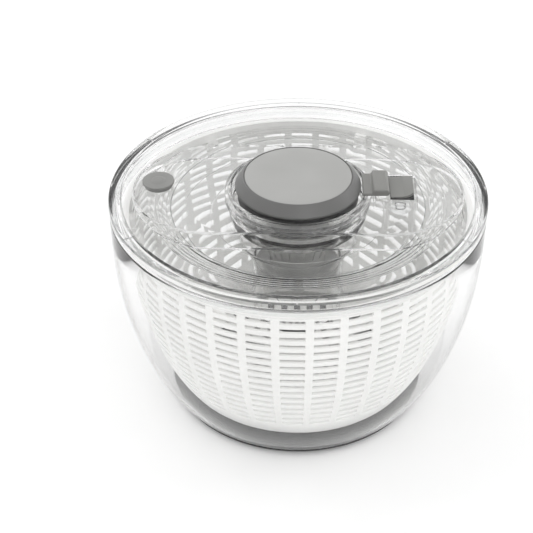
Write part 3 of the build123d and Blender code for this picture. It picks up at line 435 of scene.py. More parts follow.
@dataclass(frozen=True)
class ClearFinish(Surface):
    """A clear wall: thin-looking, with painted shade that deepens where the surface turns edge-on, standing
    for the dark reflections along its edges.

    Rays that only carry light pass straight through, as they do through thin clear walls.
    Fields give the colour seen face-on and the painted edge shade seen edge-on, and how much the wall bends,
    blurs and mirrors.
    """

    face: str
    edge: str
    ior: float
    roughness: float
    coat: float

    def fill(self, tree: bpy.types.NodeTree) -> None:
        """Builds the nodes: painted edge shade by facing, a faint flow swell, and a straight path for light.
        """
        # Painted shade: the colour darkens from the face colour to the edge colour as the surface turns
        # edge-on.
        facing = add_node(tree, "ShaderNodeLayerWeight", {"Blend": 0.5}).outputs["Facing"]
        edge_shade_ramp = add_node(tree, "ShaderNodeValToRGB", links={"Fac": facing})
        edge_shade_ramp.color_ramp.elements[0].position = 0.78
        edge_shade_ramp.color_ramp.elements[0].color = linear(self.face)
        edge_shade_ramp.color_ramp.elements[1].position = 0.98
        edge_shade_ramp.color_ramp.elements[1].color = linear(self.edge)
        flow = bump(tree, 0.04, MM, Height=noise(tree, 28.0, 1.0))
        glassy = add_node(
            tree,
            "ShaderNodeBsdfPrincipled",
            {
                "IOR": self.ior,
                "Roughness": self.roughness,
                "Transmission Weight": 1.0,
                "Coat Weight": self.coat,
                "Coat Roughness": 0.03,
            },
            {"Base Color": edge_shade_ramp.outputs["Color"], "Normal": flow},
        )
        through = add_node(tree, "ShaderNodeBsdfTransparent", {"Color": linear("fcfcfc")})
        path = add_node(tree, "ShaderNodeLightPath")
        carries = add_node(
            tree,
            "ShaderNodeMath",
            links={0: path.outputs["Is Shadow Ray"], 1: path.outputs["Is Diffuse Ray"]},
            operation="MAXIMUM",
        )
        mixed = add_node(tree, "ShaderNodeMixShader", links={"Fac": carries.outputs["Value"]})
        tree.links.new(glassy.outputs["BSDF"], mixed.inputs[1])
        tree.links.new(through.outputs["BSDF"], mixed.inputs[2])
        output = add_node(tree, "ShaderNodeOutputMaterial")
        tree.links.new(mixed.outputs["Shader"], output.inputs["Surface"])


@dataclass(frozen=True)
class Finish(Surface):
    """A moulded or drawn surface: colour drift, fine grain and a low swell from the mould.

    Fields give two hex colours that the surface drifts between, its range of roughness, and the real size
    and depth of its grain.
    """

    light: str
    dark: str
    rough_low: float
    rough_high: float
    grain_mm: float
    grain_depth: float
    ior: float = 1.49
    metallic: float = 0.0
    swell_mm: float = 40.0
    swell_depth: float = 0.02

    def fill(self, tree: bpy.types.NodeTree) -> None:
        """Builds the nodes: drift in colour and roughness, then grain over swell as bump."""
        swell = noise(tree, 1000.0 / self.swell_mm, 2.0)
        grain = noise(tree, 1000.0 / self.grain_mm, 3.0)
        colour = self.drift(tree, swell)
        rough = add_node(
            tree,
            "ShaderNodeMapRange",
            {"From Min": 0.3, "From Max": 0.7, "To Min": self.rough_low, "To Max": self.rough_high},
            {"Value": grain},
        )
        low = bump(tree, self.swell_depth, MM, Height=swell)
        fine = bump(tree, self.grain_depth, MM / 10, Height=grain, Normal=low)
        shader = add_node(
            tree,
            "ShaderNodeBsdfPrincipled",
            {"IOR": self.ior, "Metallic": self.metallic},
            {"Base Color": colour, "Roughness": rough.outputs["Result"], "Normal": fine},
        )
        output = add_node(tree, "ShaderNodeOutputMaterial")
        tree.links.new(shader.outputs["BSDF"], output.inputs["Surface"])

    def drift(self, tree: bpy.types.NodeTree, factor: bpy.types.NodeSocket) -> bpy.types.NodeSocket:
        """Returns a colour that drifts between the two hex colours."""
        ramp = add_node(tree, "ShaderNodeValToRGB", links={"Fac": factor})
        ramp.color_ramp.elements[0].position = 0.35
        ramp.color_ramp.elements[1].position = 0.65
        ramp.color_ramp.elements[0].color = linear(self.dark)
        ramp.color_ramp.elements[1].color = linear(self.light)
        return ramp.outputs["Color"]


# Clear styrene-acrylonitrile, injection moulded in a polished tool: glassy, with a faint flow swell and
# painted grey shade where it turns edge-on.
CLEAR_SAN = ClearFinish("styrene_acrylonitrile_polished", "fcfcfc", "8c8e8e", 1.16, 0.0, 0.5)
# The same plastic in thin, flat walls, which hardly show, with fainter painted edge shade.
CLEAR_THIN = ClearFinish("styrene_acrylonitrile_thin_wall", "fdfdfd", "b8baba", 1.04, 0.0, 0.3)
# The same plastic with painted shade on its edges: rounded rims and steps are coloured grey so they read as
# thin grey lines.
CLEAR_EDGE_SHADE = ClearFinish("styrene_acrylonitrile_painted_edge_shade", "9a9c9c", "6c6e6e", 1.16, 0.02, 0.5)
# The same plastic coloured near-black at the parting line under the lid: painted shade for the gap, which
# reads almost black.
CLEAR_SEAM_SHADE = ClearFinish("styrene_acrylonitrile_painted_seam_shade", "2c2c2c", "242424", 1.16, 0.05, 0.3)
# White polypropylene from a satin tool: soft, a little waxy, with low gloss.
WHITE_PP = Finish("polypropylene_satin_white", "eeeeec", "e9e9e7", 0.36, 0.5, 0.8, 0.15, ior=1.49)
# Grey ABS from a fine spark-eroded tool: even satin, with a grain drawn coarse enough to show; its grey is
# also darkened as painted shade for the knob's side.
GREY_ABS_AND_SIDE_SHADE = Finish("abs_spark_eroded_grey_and_painted_side_shade", "646463", "5d5d5c", 0.34, 0.46, 0.6, 0.35, ior=1.53)
# Lighter ABS disc, finer and more matt than the knob's side; its lighter grey is partly the disc's own tone
# and partly painted light on the knob's top.
PAD_ABS_AND_TOP_LIGHT = Finish("abs_fine_matt_grey_and_painted_top_light", "a4a4a2", "9e9e9c", 0.42, 0.55, 0.5, 0.3, ior=1.53)
# Grey ABS of the controls, satin.
CONTROL_ABS = Finish("abs_satin_mid_grey", "7f7f7c", "787875", 0.32, 0.44, 0.5, 0.3, ior=1.53)
# Near-black ABS as painted shade where the knob's skirt and the controls sink into their gaps.
SHADE_ABS = Finish("abs_satin_painted_gap_shade", "1d1d1d", "181818", 0.4, 0.5, 0.5, 0.3, ior=1.53)
# Thermoplastic elastomer, moulded matt: dark and grippy.
DARK_TPE = Finish("tpe_matt_charcoal", "2e2e2e", "272727", 0.55, 0.7, 0.7, 0.5, ior=1.5)
# Silicone rubber, moulded matt, mid grey.
GREY_SILICONE = Finish("silicone_matt_grey", "8f8f8d", "858583", 0.45, 0.6, 0.5, 0.3, ior=1.41)
# Clear silicone, moulded: milky and soft, with painted grey shade where it turns edge-on.
CLEAR_SILICONE = ClearFinish("silicone_translucent", "f8f9f9", "c8caca", 1.1, 0.12, 0.0)
# Grey ABS of the mechanism, plain moulded.
MECHANISM_ABS = Finish("abs_moulded_mechanism_grey", "a2a2a0", "999997", 0.3, 0.42, 0.7, 0.2, ior=1.53)
# Acetal, machined smooth: hard, off-white and self-lubricating.
ACETAL = Finish("acetal_machined_natural", "ecebe5", "e4e3dc", 0.25, 0.35, 0.4, 0.2, ior=1.48)
# Spring and screw steel, drawn bright.
STEEL = Finish("steel_drawn_bright", "b9babb", "a5a6a8", 0.2, 0.34, 0.3, 0.3, metallic=1.0)
# Painted studio floor, rolled matt: pale and even.
FLOOR = Finish("floor_paint_matt_pale", "fbfbfb", "fafafa", 0.8, 0.9, 2.0, 0.05)

SLOT_FINISHES: dict[str, Surface] = {
    "clear_shell": CLEAR_SAN,
    "white_basket": WHITE_PP,
    "grey_knob": GREY_ABS_AND_SIDE_SHADE,
    "grey_pad": PAD_ABS_AND_TOP_LIGHT,
    "grey_control": CONTROL_ABS,
    "dark_rubber": DARK_TPE,
    "grey_silicone": GREY_SILICONE,
    "clear_silicone": CLEAR_SILICONE,
    "grey_housing": MECHANISM_ABS,
    "acetal": ACETAL,
    "steel": STEEL,
}


def dress_frame() -> None:
    """Gives every frame node the finish of its slot in the record."""
    for subpart in frame["record"]["subparts"]:
        node = frame["nodes"][subpart["node"]]
        finish = SLOT_FINISHES[subpart["material_slot"]]
        if subpart["node"] == "brake_shoe":
            finish = CLEAR_SILICONE
        node.data.materials.clear()
        node.data.materials.append(finish.material())


# ------------------------------------------------------------------ sub-assemblies
@dataclass
class Meridian:
    """Section of the bowl's side: a straight shoulder, a long arc and a tighter arc below it."""

    radius: float
    top: float
    shoulder_drop: float = 0.022
    side_radius: float = 0.270
    low_radius: float = 0.150
    low_drop: float = 0.117

    def low_angle(self) -> float:
        """Angle in degrees where the long arc ends."""
        return math.degrees(math.asin((self.low_drop - self.shoulder_drop) / self.side_radius))

    def centres(self) -> tuple[Point, Point]:
        """Centres of the long and of the tight arc."""
        side = (self.radius - self.side_radius, self.top - self.shoulder_drop)
        angle = math.radians(self.low_angle())
        reach = self.side_radius - self.low_radius
        return side, (side[0] + reach * math.cos(angle), side[1] - reach * math.sin(angle))

    def radius_at(self, inset: float, height: float) -> float:
        """Radius of the section, moved in by inset, at a height."""
        side, low = self.centres()
        if height >= side[1]:
            return self.radius - inset
        meeting = side[1] - (self.side_radius - inset) * math.sin(math.radians(self.low_angle()))
        centre, radius = (side, self.side_radius) if height >= meeting else (low, self.low_radius)
        return centre[0] + math.sqrt((radius - inset) ** 2 - (centre[1] - height) ** 2)

    def line(self, inset: float, top: float, bottom: float) -> list[Point]:
        """Points down the section, moved in by inset, from height top to height bottom."""
        side, low = self.centres()
        end = math.degrees(math.asin((low[1] - bottom) / (self.low_radius - inset)))
        angle = self.low_angle()
        upper = arc(side, self.side_radius - inset, 0, -angle, 14)
        lower = arc(low, self.low_radius - inset, -angle, -end, 12)
        return [(self.radius - inset, top), *upper, *lower[1:]]


def bowl_section() -> Meridian:
    """The bowl's section, sized from the frame's bowl."""
    _, high = box_of("bowl")
    return Meridian(radius=high[0], top=high[2])


@dataclass
class Bowl:
    """Clear bowl on a dark non-slip ring."""

    wall: float = 0.0025
    floor: float = 0.003
    lip: float = 0.0011
    boss_radius: float = 0.009
    boss_rise: float = 0.003
    pin_hole: float = 0.00305
    hole_depth: float = 0.0045
    seat_gap: float = 0.00008
    groove_width: float = 0.0012
    groove_depth: float = 0.0007

    def build(self) -> None:
        """Makes the bowl and its ring."""
        self.build_shell()
        self.build_ring()

    def build_shell(self) -> None:
        """Turns the clear shell, with a rounded lip and the pin's boss."""
        section = bowl_section()
        base = box_of("bowl")[0][2]
        inside = base + self.floor
        outer = section.line(0.0, section.top - self.lip, base)
        inner = section.line(self.wall, section.top - self.lip, inside + self.floor)
        middle = section.radius - self.wall / 2
        lip = arc((middle, section.top - self.wall / 2), self.wall / 2, 0, 180, 8)
        corner_radius = section.radius_at(self.wall, inside + self.floor)
        corner = [
            (corner_radius - 0.0012, inside + 0.0012),
            (corner_radius - 0.0035, inside + 0.0003),
            (corner_radius - 0.0065, inside),
        ]
        boss_top = inside + self.boss_rise
        boss = rounded(
            [
                (self.boss_radius, inside, 0.0),
                (self.boss_radius, boss_top, 0.0006),
                (self.pin_hole, boss_top, 0.0004),
                (self.pin_hole, boss_top - self.hole_depth, 0.0),
            ]
        )
        outline = [*lip[:-1], *inner, *corner, *boss, (0.0, boss_top - self.hole_depth)]
        outline += [(0.0, base), *outer[::-1]]
        shell = turned("bowl_shell", outline)
        place(shell, "bowl", "clear_shell", CLEAR_SAN, "bowl")

    def build_ring(self) -> None:
        """Turns the dark ring, with grip grooves under it."""
        low, high = box_of("base_ring")
        outer, top = high[0], high[2] - self.seat_gap
        inner = outer - 0.024
        foot = outer - 0.006
        outline: list[tuple[float, float, float]] = [
            (inner, low[2], 0.0006),
            (inner, top, 0.0004),
            (outer, top, 0.0003),
            (outer - 0.0012, low[2] + 0.0022, 0.002),
            (foot, low[2], 0.0014),
        ]
        count = 4
        pitch = (foot - inner) / (count + 1)
        for k in range(count, 0, -1):
            middle = inner + k * pitch
            outline += [
                (middle + self.groove_width / 2, low[2], 0.0002),
                (middle + self.groove_width / 2, low[2] + self.groove_depth, 0.0002),
                (middle - self.groove_width / 2, low[2] + self.groove_depth, 0.0002),
                (middle - self.groove_width / 2, low[2], 0.0002),
            ]
        ring = turned("non_slip_ring", rounded(outline, 3), sharp=35.0)
        place(ring, "bowl", "dark_rubber", DARK_TPE, "base_ring")


@dataclass
class Basket:
    """White slotted basket: a solid skin with its slots opened between upright bars, then given its wall."""

    inset: float = 0.0115
    wall: float = 0.002
    columns: int = 34
    rows: int = 17
    pitch: float = 0.0065
    slot_height: float = 0.0029
    first_drop: float = 0.011
    steps_per_column: int = 4
    edge_round: float = 0.00035
    flange: float = 0.0026
    flange_thick: float = 0.0022
    socket_wall: float = 0.0025
    dog_size: tuple[float, float, float] = (0.0045, 0.009, 0.009)
    dog_count: int = 6
    drains: tuple[tuple[float, float], ...] = ((0.026, 0.042), (0.050, 0.066))

    def build(self) -> None:
        """Makes the wall, rim, socket and drive lugs and joins them."""
        wall = self.build_wall()
        basket = joined([wall, self.build_rim(), self.build_socket(), *self.build_dogs()], "slotted_basket")
        place(basket, "basket", "white_basket", WHITE_PP, "basket")

    def slot_edges(self) -> list[tuple[float, float]]:
        """(upper, lower) height of each row of slots, from the top."""
        rim = box_of("basket")[1][2]
        middles = [rim - self.first_drop - k * self.pitch for k in range(self.rows)]
        return [(z + self.slot_height / 2, z - self.slot_height / 2) for z in middles]

    def outline(self) -> list[Point]:
        """Outside of the wall from the rim to the socket, with a point at each edge of a slot."""
        low, high = box_of("basket")
        section = bowl_section()
        heights = [high[2] - self.flange_thick / 2]
        for upper, lower in self.slot_edges():
            heights += [upper, lower]
        bottom = low[2] + 0.006
        gap = (heights[-1] - bottom) / 3
        heights += [heights[-1] - gap, heights[-1] - 2 * gap, bottom]
        points = [(section.radius_at(self.inset, z), z) for z in heights]
        edge = points[-1][0]
        points += [(edge - 0.0032, low[2] + 0.0022), (edge - 0.0066, low[2] + 0.0006)]
        points.append((edge - 0.0108, low[2]))
        for inner, outer in reversed(self.drains):
            points += [(outer, low[2]), (inner, low[2])]
        points.append((self.socket_radius(), low[2]))
        return points

    def socket_radius(self) -> float:
        """Outside radius of the socket over the pin."""
        return box_of("basket_bush")[1][0] + 0.0001 + self.socket_wall

    def build_wall(self) -> bpy.types.Object:
        """Spins the wall's outline, opens the slots and gives the skin its thickness."""
        piece = drawn("slotted_basket", self.outline())
        steps = self.columns * self.steps_per_column
        bpy.ops.mesh.spin(steps=steps, angle=math.tau, center=(0, 0, 0), axis=(0, 0, 1))
        bpy.ops.mesh.select_all(action="SELECT")
        bpy.ops.mesh.remove_doubles(threshold=MM / 100)
        bpy.ops.mesh.normals_make_consistent(inside=False)
        bpy.ops.mesh.select_mode(type="FACE")
        bpy.ops.mesh.select_all(action="DESELECT")
        bpy.ops.object.mode_set(mode="OBJECT")
        for face in piece.data.polygons:
            face.select = self.is_slot(face.center)
        bpy.ops.object.mode_set(mode="EDIT")
        bpy.ops.mesh.delete(type="FACE")
        bpy.ops.mesh.select_mode(type="VERT")
        bpy.ops.object.mode_set(mode="OBJECT")
        outward = self.faces_outward(piece)
        modify(
            piece,
            "SOLIDIFY",
            thickness=self.wall,
            offset=-1.0 if outward else 1.0,
            use_even_offset=True,
            use_quality_normals=True,
        )
        softened(piece, self.edge_round, 2, math.radians(50))
        return piece

    def faces_outward(self, piece: bpy.types.Object) -> bool:
        """Says if the skin's widest face points away from the axis."""
        face = max(piece.data.polygons, key=lambda f: Vector(f.center[:2]).length)
        return Vector(face.normal[:2]).dot(Vector(face.center[:2])) > 0

    def is_slot(self, centre: Vector) -> bool:
        """Says if a face of the skin stands where a slot opens."""
        angle = math.degrees(math.atan2(centre.y, centre.x)) % 360
        step = 360 / (self.columns * self.steps_per_column)
        column_step = int(angle / step) % self.steps_per_column
        floor = box_of("basket")[0][2]
        radius = math.hypot(centre.x, centre.y)
        if centre.z < floor + MM / 10:
            return any(a < radius < b for a, b in self.drains) and column_step in (1, 2)
        if column_step == self.steps_per_column - 1:
            return False
        return any(lower < centre.z < upper for upper, lower in self.slot_edges())

    def build_rim(self) -> bpy.types.Object:
        """Turns the rim's outward flange."""
        high = box_of("basket")[1]
        outer = high[0]
        inner = outer - self.flange - self.wall
        under = high[2] - self.flange_thick
        corners = [
            (inner, under, 0.0002),
            (outer, under, 0.0007),
            (outer, high[2], 0.0007),
            (inner, high[2], 0.0006),
        ]
        return turned("basket_rim", rounded(corners))

    def build_socket(self) -> bpy.types.Object:
        """Turns the closed socket that runs over the pin."""
        low = box_of("basket")[0]
        bush = box_of("basket_bush")[1]
        outer, bore = self.socket_radius() + 0.0002, bush[0] + 0.0001
        top = bush[2] + 0.0008
        roof = top + self.socket_wall
        outline = rounded(
            [
                (bore, low[2], 0.0002),
                (outer, low[2], 0.0),
                (outer, roof, 0.0012),
                (0.0, roof, 0.0),
                (0.0, top, 0.0),
                (bore, top, 0.0),
            ]
        )
        return turned("basket_socket", outline, Steps.SMALL)

    def build_dogs(self) -> list[bpy.types.Object]:
        """Makes the lugs inside the rim that the drive plate catches."""
        plate_top = box_of("drive_plate")[1][2]
        depth, _, height = self.dog_size
        inner = box_of("basket")[1][0] - self.flange - self.wall
        under = plate_top - 0.0028 - 0.0024 - height / 3
        dogs = []
        for k in range(self.dog_count):
            angle = math.tau * k / self.dog_count + math.pi / self.columns
            centre = (inner - depth / 2 + 0.0005, 0, under + height / 2)
            dog = block(f"drive_lug_{k}", self.dog_size, centre)
            modify(dog, "BEVEL", width=0.0008, segments=2)
            dogs.append(swung(dog, angle))
        return dogs


@dataclass
class Lid:
    """Clear lid: rim, sunk dish and skirt, and the deck across it with the knob's well."""

    wall: float = 0.0022
    land: float = 0.0085
    land_sink: float = 0.002
    rim_round: float = 0.0016
    dish_outer: Point = (0.105, 0.009)
    dish_inner: Point = (0.090, 0.0125)
    dish_ridges: int = 4
    ridge_rise: float = 0.0005
    skirt_wall: float = 0.0024
    skirt_gap: float = 0.0016
    bowl_wall: float = 0.0025
    collar_wall: float = 0.0026
    seam_shade_ring: float = 0.0014
    notch_count: int = 6
    notch_size: tuple[float, float, float] = (0.0085, 0.0007, 0.0008)

    def build(self) -> None:
        """Makes the lid's shell, deck and collar."""
        self.build_shell()
        self.build_deck()
        self.build_collar()

    def dish(self, top: float, sunk: float) -> list[Point]:
        """Surface of the dish from the rim's land inwards, with fine ridges between its two rings."""
        land_inner = box_of("lid_shell")[1][0] - self.land
        outer_radius, outer_drop = self.dish_outer
        inner_radius, inner_drop = self.dish_inner
        points = [
            (land_inner - self.land_sink / 2, top - self.land_sink - sunk),
            (outer_radius + 0.0006, top - outer_drop + 0.0002 - sunk),
            (outer_radius - 0.0002, top - outer_drop - 0.0001 - sunk),
        ]
        for k in range(self.dish_ridges + 1):
            share = k / (self.dish_ridges + 1)
            radius = outer_radius - 0.0010 + (inner_radius - outer_radius + 0.0012) * share
            height = top - outer_drop - 0.0008 + (outer_drop + 0.0008 - inner_drop) * share - sunk
            rise = self.ridge_rise if sunk == 0 else 0.0
            points += [(radius, height), (radius - 0.0004, height + rise)]
            points.append((radius - 0.0013, height + rise * 0.9))
        floor = top - inner_drop
        points += [(inner_radius, floor + 0.0002 - sunk), (inner_radius - 0.0008, floor - sunk)]
        return points

    def build_shell(self) -> None:
        """Turns the lid's shell and cuts its rim notches."""
        low, high = box_of("lid_shell")
        top, outer = high[2], high[0]
        seam = box_of("bowl")[1][2] + 0.0003
        skirt = outer - self.bowl_wall - self.skirt_gap
        land_inner = outer - self.land
        hole = box_of("knob_collar")[1][0]
        dish_floor = top - self.dish_inner[1]
        rim = rounded(
            [
                (skirt, seam, 0.0004),
                (outer - self.seam_shade_ring, seam, 0.0),
                (outer, seam, 0.0004),
                (outer, top, self.rim_round),
                (land_inner, top, 0.0006),
                (land_inner - self.land_sink / 2, top - self.land_sink, 0.0),
            ],
            5,
        )[:-1]
        upper = self.dish(top, 0.0)
        lower = self.dish(top, self.wall)[::-1]
        outline = [*rim, *upper, (hole, dish_floor), (hole, dish_floor - self.wall), *lower]
        outline += [
            (skirt - self.skirt_wall - 0.0012, top - self.wall - self.land_sink / 2),
            (skirt - self.skirt_wall, top - self.wall - self.land_sink / 2 - 0.0012),
            (skirt - self.skirt_wall, low[2] + 0.0004),
            (skirt - self.skirt_wall + 0.0004, low[2]),
            (skirt - 0.0004, low[2]),
            (skirt, low[2] + 0.0004),
        ]
        shell = turned("lid_shell_clear", outline)
        self.cut_notches(shell, outer, top)
        place(shell, "lid", "clear_shell", CLEAR_SAN, "lid_shell")
        # Painted shade: the rim's round, the land's inner edge and the dish's inner ring take a grey finish,
        # drawn as thin grey lines.
        ring = self.dish_inner[0]
        edges = [
            (outer - 0.0007, outer + MM, top - 0.0022, top + MM),
            (land_inner - 0.0004, land_inner + 0.0003, top - 0.0012, top + MM),
            (ring - 0.0009, ring + 0.0003, dish_floor - MM / 5, dish_floor + 0.0012),
        ]
        paint_shade_in_rings(shell, CLEAR_EDGE_SHADE, edges)
        # Painted shade: a thin ring under the rim, at the seam, takes the near-black finish.
        paint_shade_in_rings(shell, CLEAR_SEAM_SHADE, [(outer - self.seam_shade_ring, outer + MM, seam - MM, seam + 0.0004)])

    def cut_notches(self, shell: bpy.types.Object, outer: float, top: float) -> None:
        """Cuts the short radial marks across the rim's land."""
        length, width, depth = self.notch_size
        cutters = []
        for k in range(self.notch_count):
            angle = math.tau * (k + 0.5) / self.notch_count
            centre = (outer - length / 2 + MM / 2, 0, top)
            cutters.append(swung(block("notch_cutter", (length, width, 2 * depth), centre), angle))
        cutter = joined(cutters, "notch_cutters")
        modify(shell, "BOOLEAN", operation="DIFFERENCE", object=cutter, solver="EXACT")
        bpy.data.objects.remove(cutter)
        smoothed(shell, 40.0)

    def build_deck(self) -> None:
        """Takes the deck's shape from the frame, with its triangles joined and its faces smoothed."""
        deck = merged_copy("lid_deck", "deck_clear", 25.0)
        place(deck, "lid", "clear_shell", CLEAR_SAN, "lid_deck")

    def build_collar(self) -> None:
        """Turns the ring at the well's mouth."""
        low, high = box_of("knob_collar")
        outer, inner = high[0], high[0] - self.collar_wall
        corners = [
            (inner, low[2], 0.0004),
            (outer, low[2], 0.0004),
            (outer, high[2], 0.0009),
            (inner, high[2], 0.0009),
        ]
        collar = turned("well_collar", rounded(corners))
        place(collar, "lid", "clear_shell", CLEAR_SAN, "knob_collar")
        # Painted shade: the collar's inner top edge takes the grey edge finish, drawn as a thin grey line.
        paint_shade_in_rings(collar, CLEAR_EDGE_SHADE, [(inner - MM, inner + 0.0006, high[2] - 0.0008, high[2] + MM)])


@dataclass
class Knob:
    """Pump knob: a chamfered shell with a matt disc let into its top."""

    top_radius: float = 0.0383
    lip: float = 0.0016
    skirt_wall: float = 0.0024
    pad_groove: float = 0.00025
    pad_crown: float = 0.0004

    def build(self) -> None:
        """Makes the shell and its disc."""
        low, high = box_of("knob_shell")
        pad_low, pad_high = box_of("knob_pad")
        outer, top = high[0], high[2]
        pad_radius = pad_high[0]
        edge = box_of("lid_shell")[1][2] + 0.0016
        skirt = outer - self.lip
        under = pad_low[2] - self.skirt_wall
        corners = [
            (0.0, under, 0.0),
            (0.0, pad_low[2], 0.0),
            (pad_radius + self.pad_groove, pad_low[2], 0.0),
            (pad_radius + self.pad_groove, top, 0.0002),
            (self.top_radius + 0.0003, top, 0.0009),
            (outer, edge + self.lip, 0.0012),
            (outer, edge, 0.0006),
            (skirt, edge - self.lip, 0.0004),
            (skirt, low[2], 0.0004),
            (skirt - self.skirt_wall, edge - 0.009, 0.0004),
            (skirt - self.skirt_wall, edge, 0.001),
            (self.top_radius - self.skirt_wall, under, 0.002),
        ]
        shell = turned("pump_knob", rounded(corners, 5), sharp=30.0)
        # Painted light and shade: the shell's darker grey stands partly for shade on its side, the disc's
        # lighter grey partly for light on its top.
        place(shell, "knob", "grey_knob", GREY_ABS_AND_SIDE_SHADE, "knob_shell")
        # Painted shadow: the skirt below the edge takes the near-black finish, standing for the shade in the
        # gap round the knob.
        paint_shade_in_rings(shell, SHADE_ABS, [(skirt - self.skirt_wall, outer + MM, low[2] - MM, edge + 0.0003)])
        pad = rounded(
            [
                (0.0, pad_low[2] + 0.00005, 0.0),
                (0.0, top + self.pad_crown * 0.2, 0.0),
                (pad_radius * 0.5, top + self.pad_crown * 0.15, 0.0),
                (pad_radius * 0.8, top, 0.0),
                (pad_radius, top - 0.0001, 0.0004),
                (pad_radius, pad_low[2] + 0.00005, 0.0),
            ],
            3,
        )
        place(turned("knob_disc", pad, sharp=30.0), "knob", "grey_pad", PAD_ABS_AND_TOP_LIGHT, "knob_pad")


@dataclass
class VentPlug:
    """Soft plug at the deck's left end: stem, step, cap and a small domed nub."""

    step_radius: float = 0.0099
    nub_radius: float = 0.0044
    stem_radius: float = 0.0050
    cap_thick: float = 0.0020
    nub_rise: float = 0.0009
    stem_length: float = 0.0080
    stem_shown: float = 0.0015

    def build(self) -> None:
        """Turns the plug about Z, then moves it to its place."""
        low, high = box_of("vent_plug")
        centre = (low[0] + high[0]) / 2
        radius = (high[0] - low[0]) / 2
        cap_top = high[2] - self.nub_rise
        cap_under = cap_top - self.cap_thick
        seat = low[2] + self.stem_length
        outline = rounded(
            [
                (0.0, seat - self.stem_shown, 0.0),
                (self.stem_radius, seat - self.stem_shown, 0.0006),
                (self.stem_radius, seat, 0.0003),
                (self.step_radius, seat, 0.0005),
                (self.step_radius, cap_under, 0.0003),
                (radius, cap_under, 0.0005),
                (radius, cap_top, 0.0006),
                (self.nub_radius + 0.0012, cap_top - 0.0003, 0.0006),
                (self.nub_radius, cap_top + 0.0002, 0.0004),
                (self.nub_radius * 0.75, high[2] - 0.0002, 0.0008),
                (0.0, high[2], 0.0),
            ],
            4,
        )
        plug = turned("vent_plug_soft", outline, Steps.SMALL, 35.0)
        activate(plug)
        bpy.ops.transform.translate(value=(centre, 0, 0))
        bpy.ops.object.transform_apply(location=True, rotation=True, scale=True)
        place(plug, "plug", "grey_silicone", GREY_SILICONE, "vent_plug")


@dataclass
class DrivePlate:
    """Clear spinning plate with a funnel and a closed tube."""

    plate_thick: float = 0.0024
    lip_height: float = 0.0028
    lip_width: float = 0.002
    wall: float = 0.0025
    funnel_top: float = 0.046
    funnel_waist: float = 0.043
    waist_drop: float = 0.0185
    tube_radius: float = 0.0325
    tube_drop: float = 0.0365
    track: tuple[float, float] = (0.062, 0.082)
    track_rise: float = 0.0012

    def build(self) -> None:
        """Turns the plate, funnel and tube in one piece."""
        low, high = box_of("drive_plate")
        top = high[2] - self.lip_height
        under = top - self.plate_thick
        edge = high[0]
        waist, end = top - self.waist_drop, top - self.tube_drop
        bore = self.tube_radius - self.wall
        inside = low[2] + self.wall
        first, last = self.track
        corners = [
            (self.funnel_top - self.wall, top, 0.001),
            (first, top, 0.0003),
            (first, top + self.track_rise, 0.0003),
            (last, top + self.track_rise, 0.0003),
            (last, top, 0.0003),
            (edge - self.lip_width, top, 0.0004),
            (edge - self.lip_width, high[2], 0.0005),
            (edge, high[2], 0.0005),
            (edge, under, 0.0006),
            (self.funnel_top, under, 0.002),
            (self.funnel_waist, waist, 0.006),
            (self.tube_radius, end, 0.006),
            (self.tube_radius, low[2], 0.002),
            (0.0, low[2], 0.0),
            (0.0, inside, 0.0),
            (bore, inside, 0.001),
            (bore, end, 0.006),
            (self.funnel_waist - self.wall, waist, 0.006),
        ]
        place(turned("spin_plate", rounded(corners, 5)), "turntable", "clear_shell", CLEAR_SAN, "drive_plate")


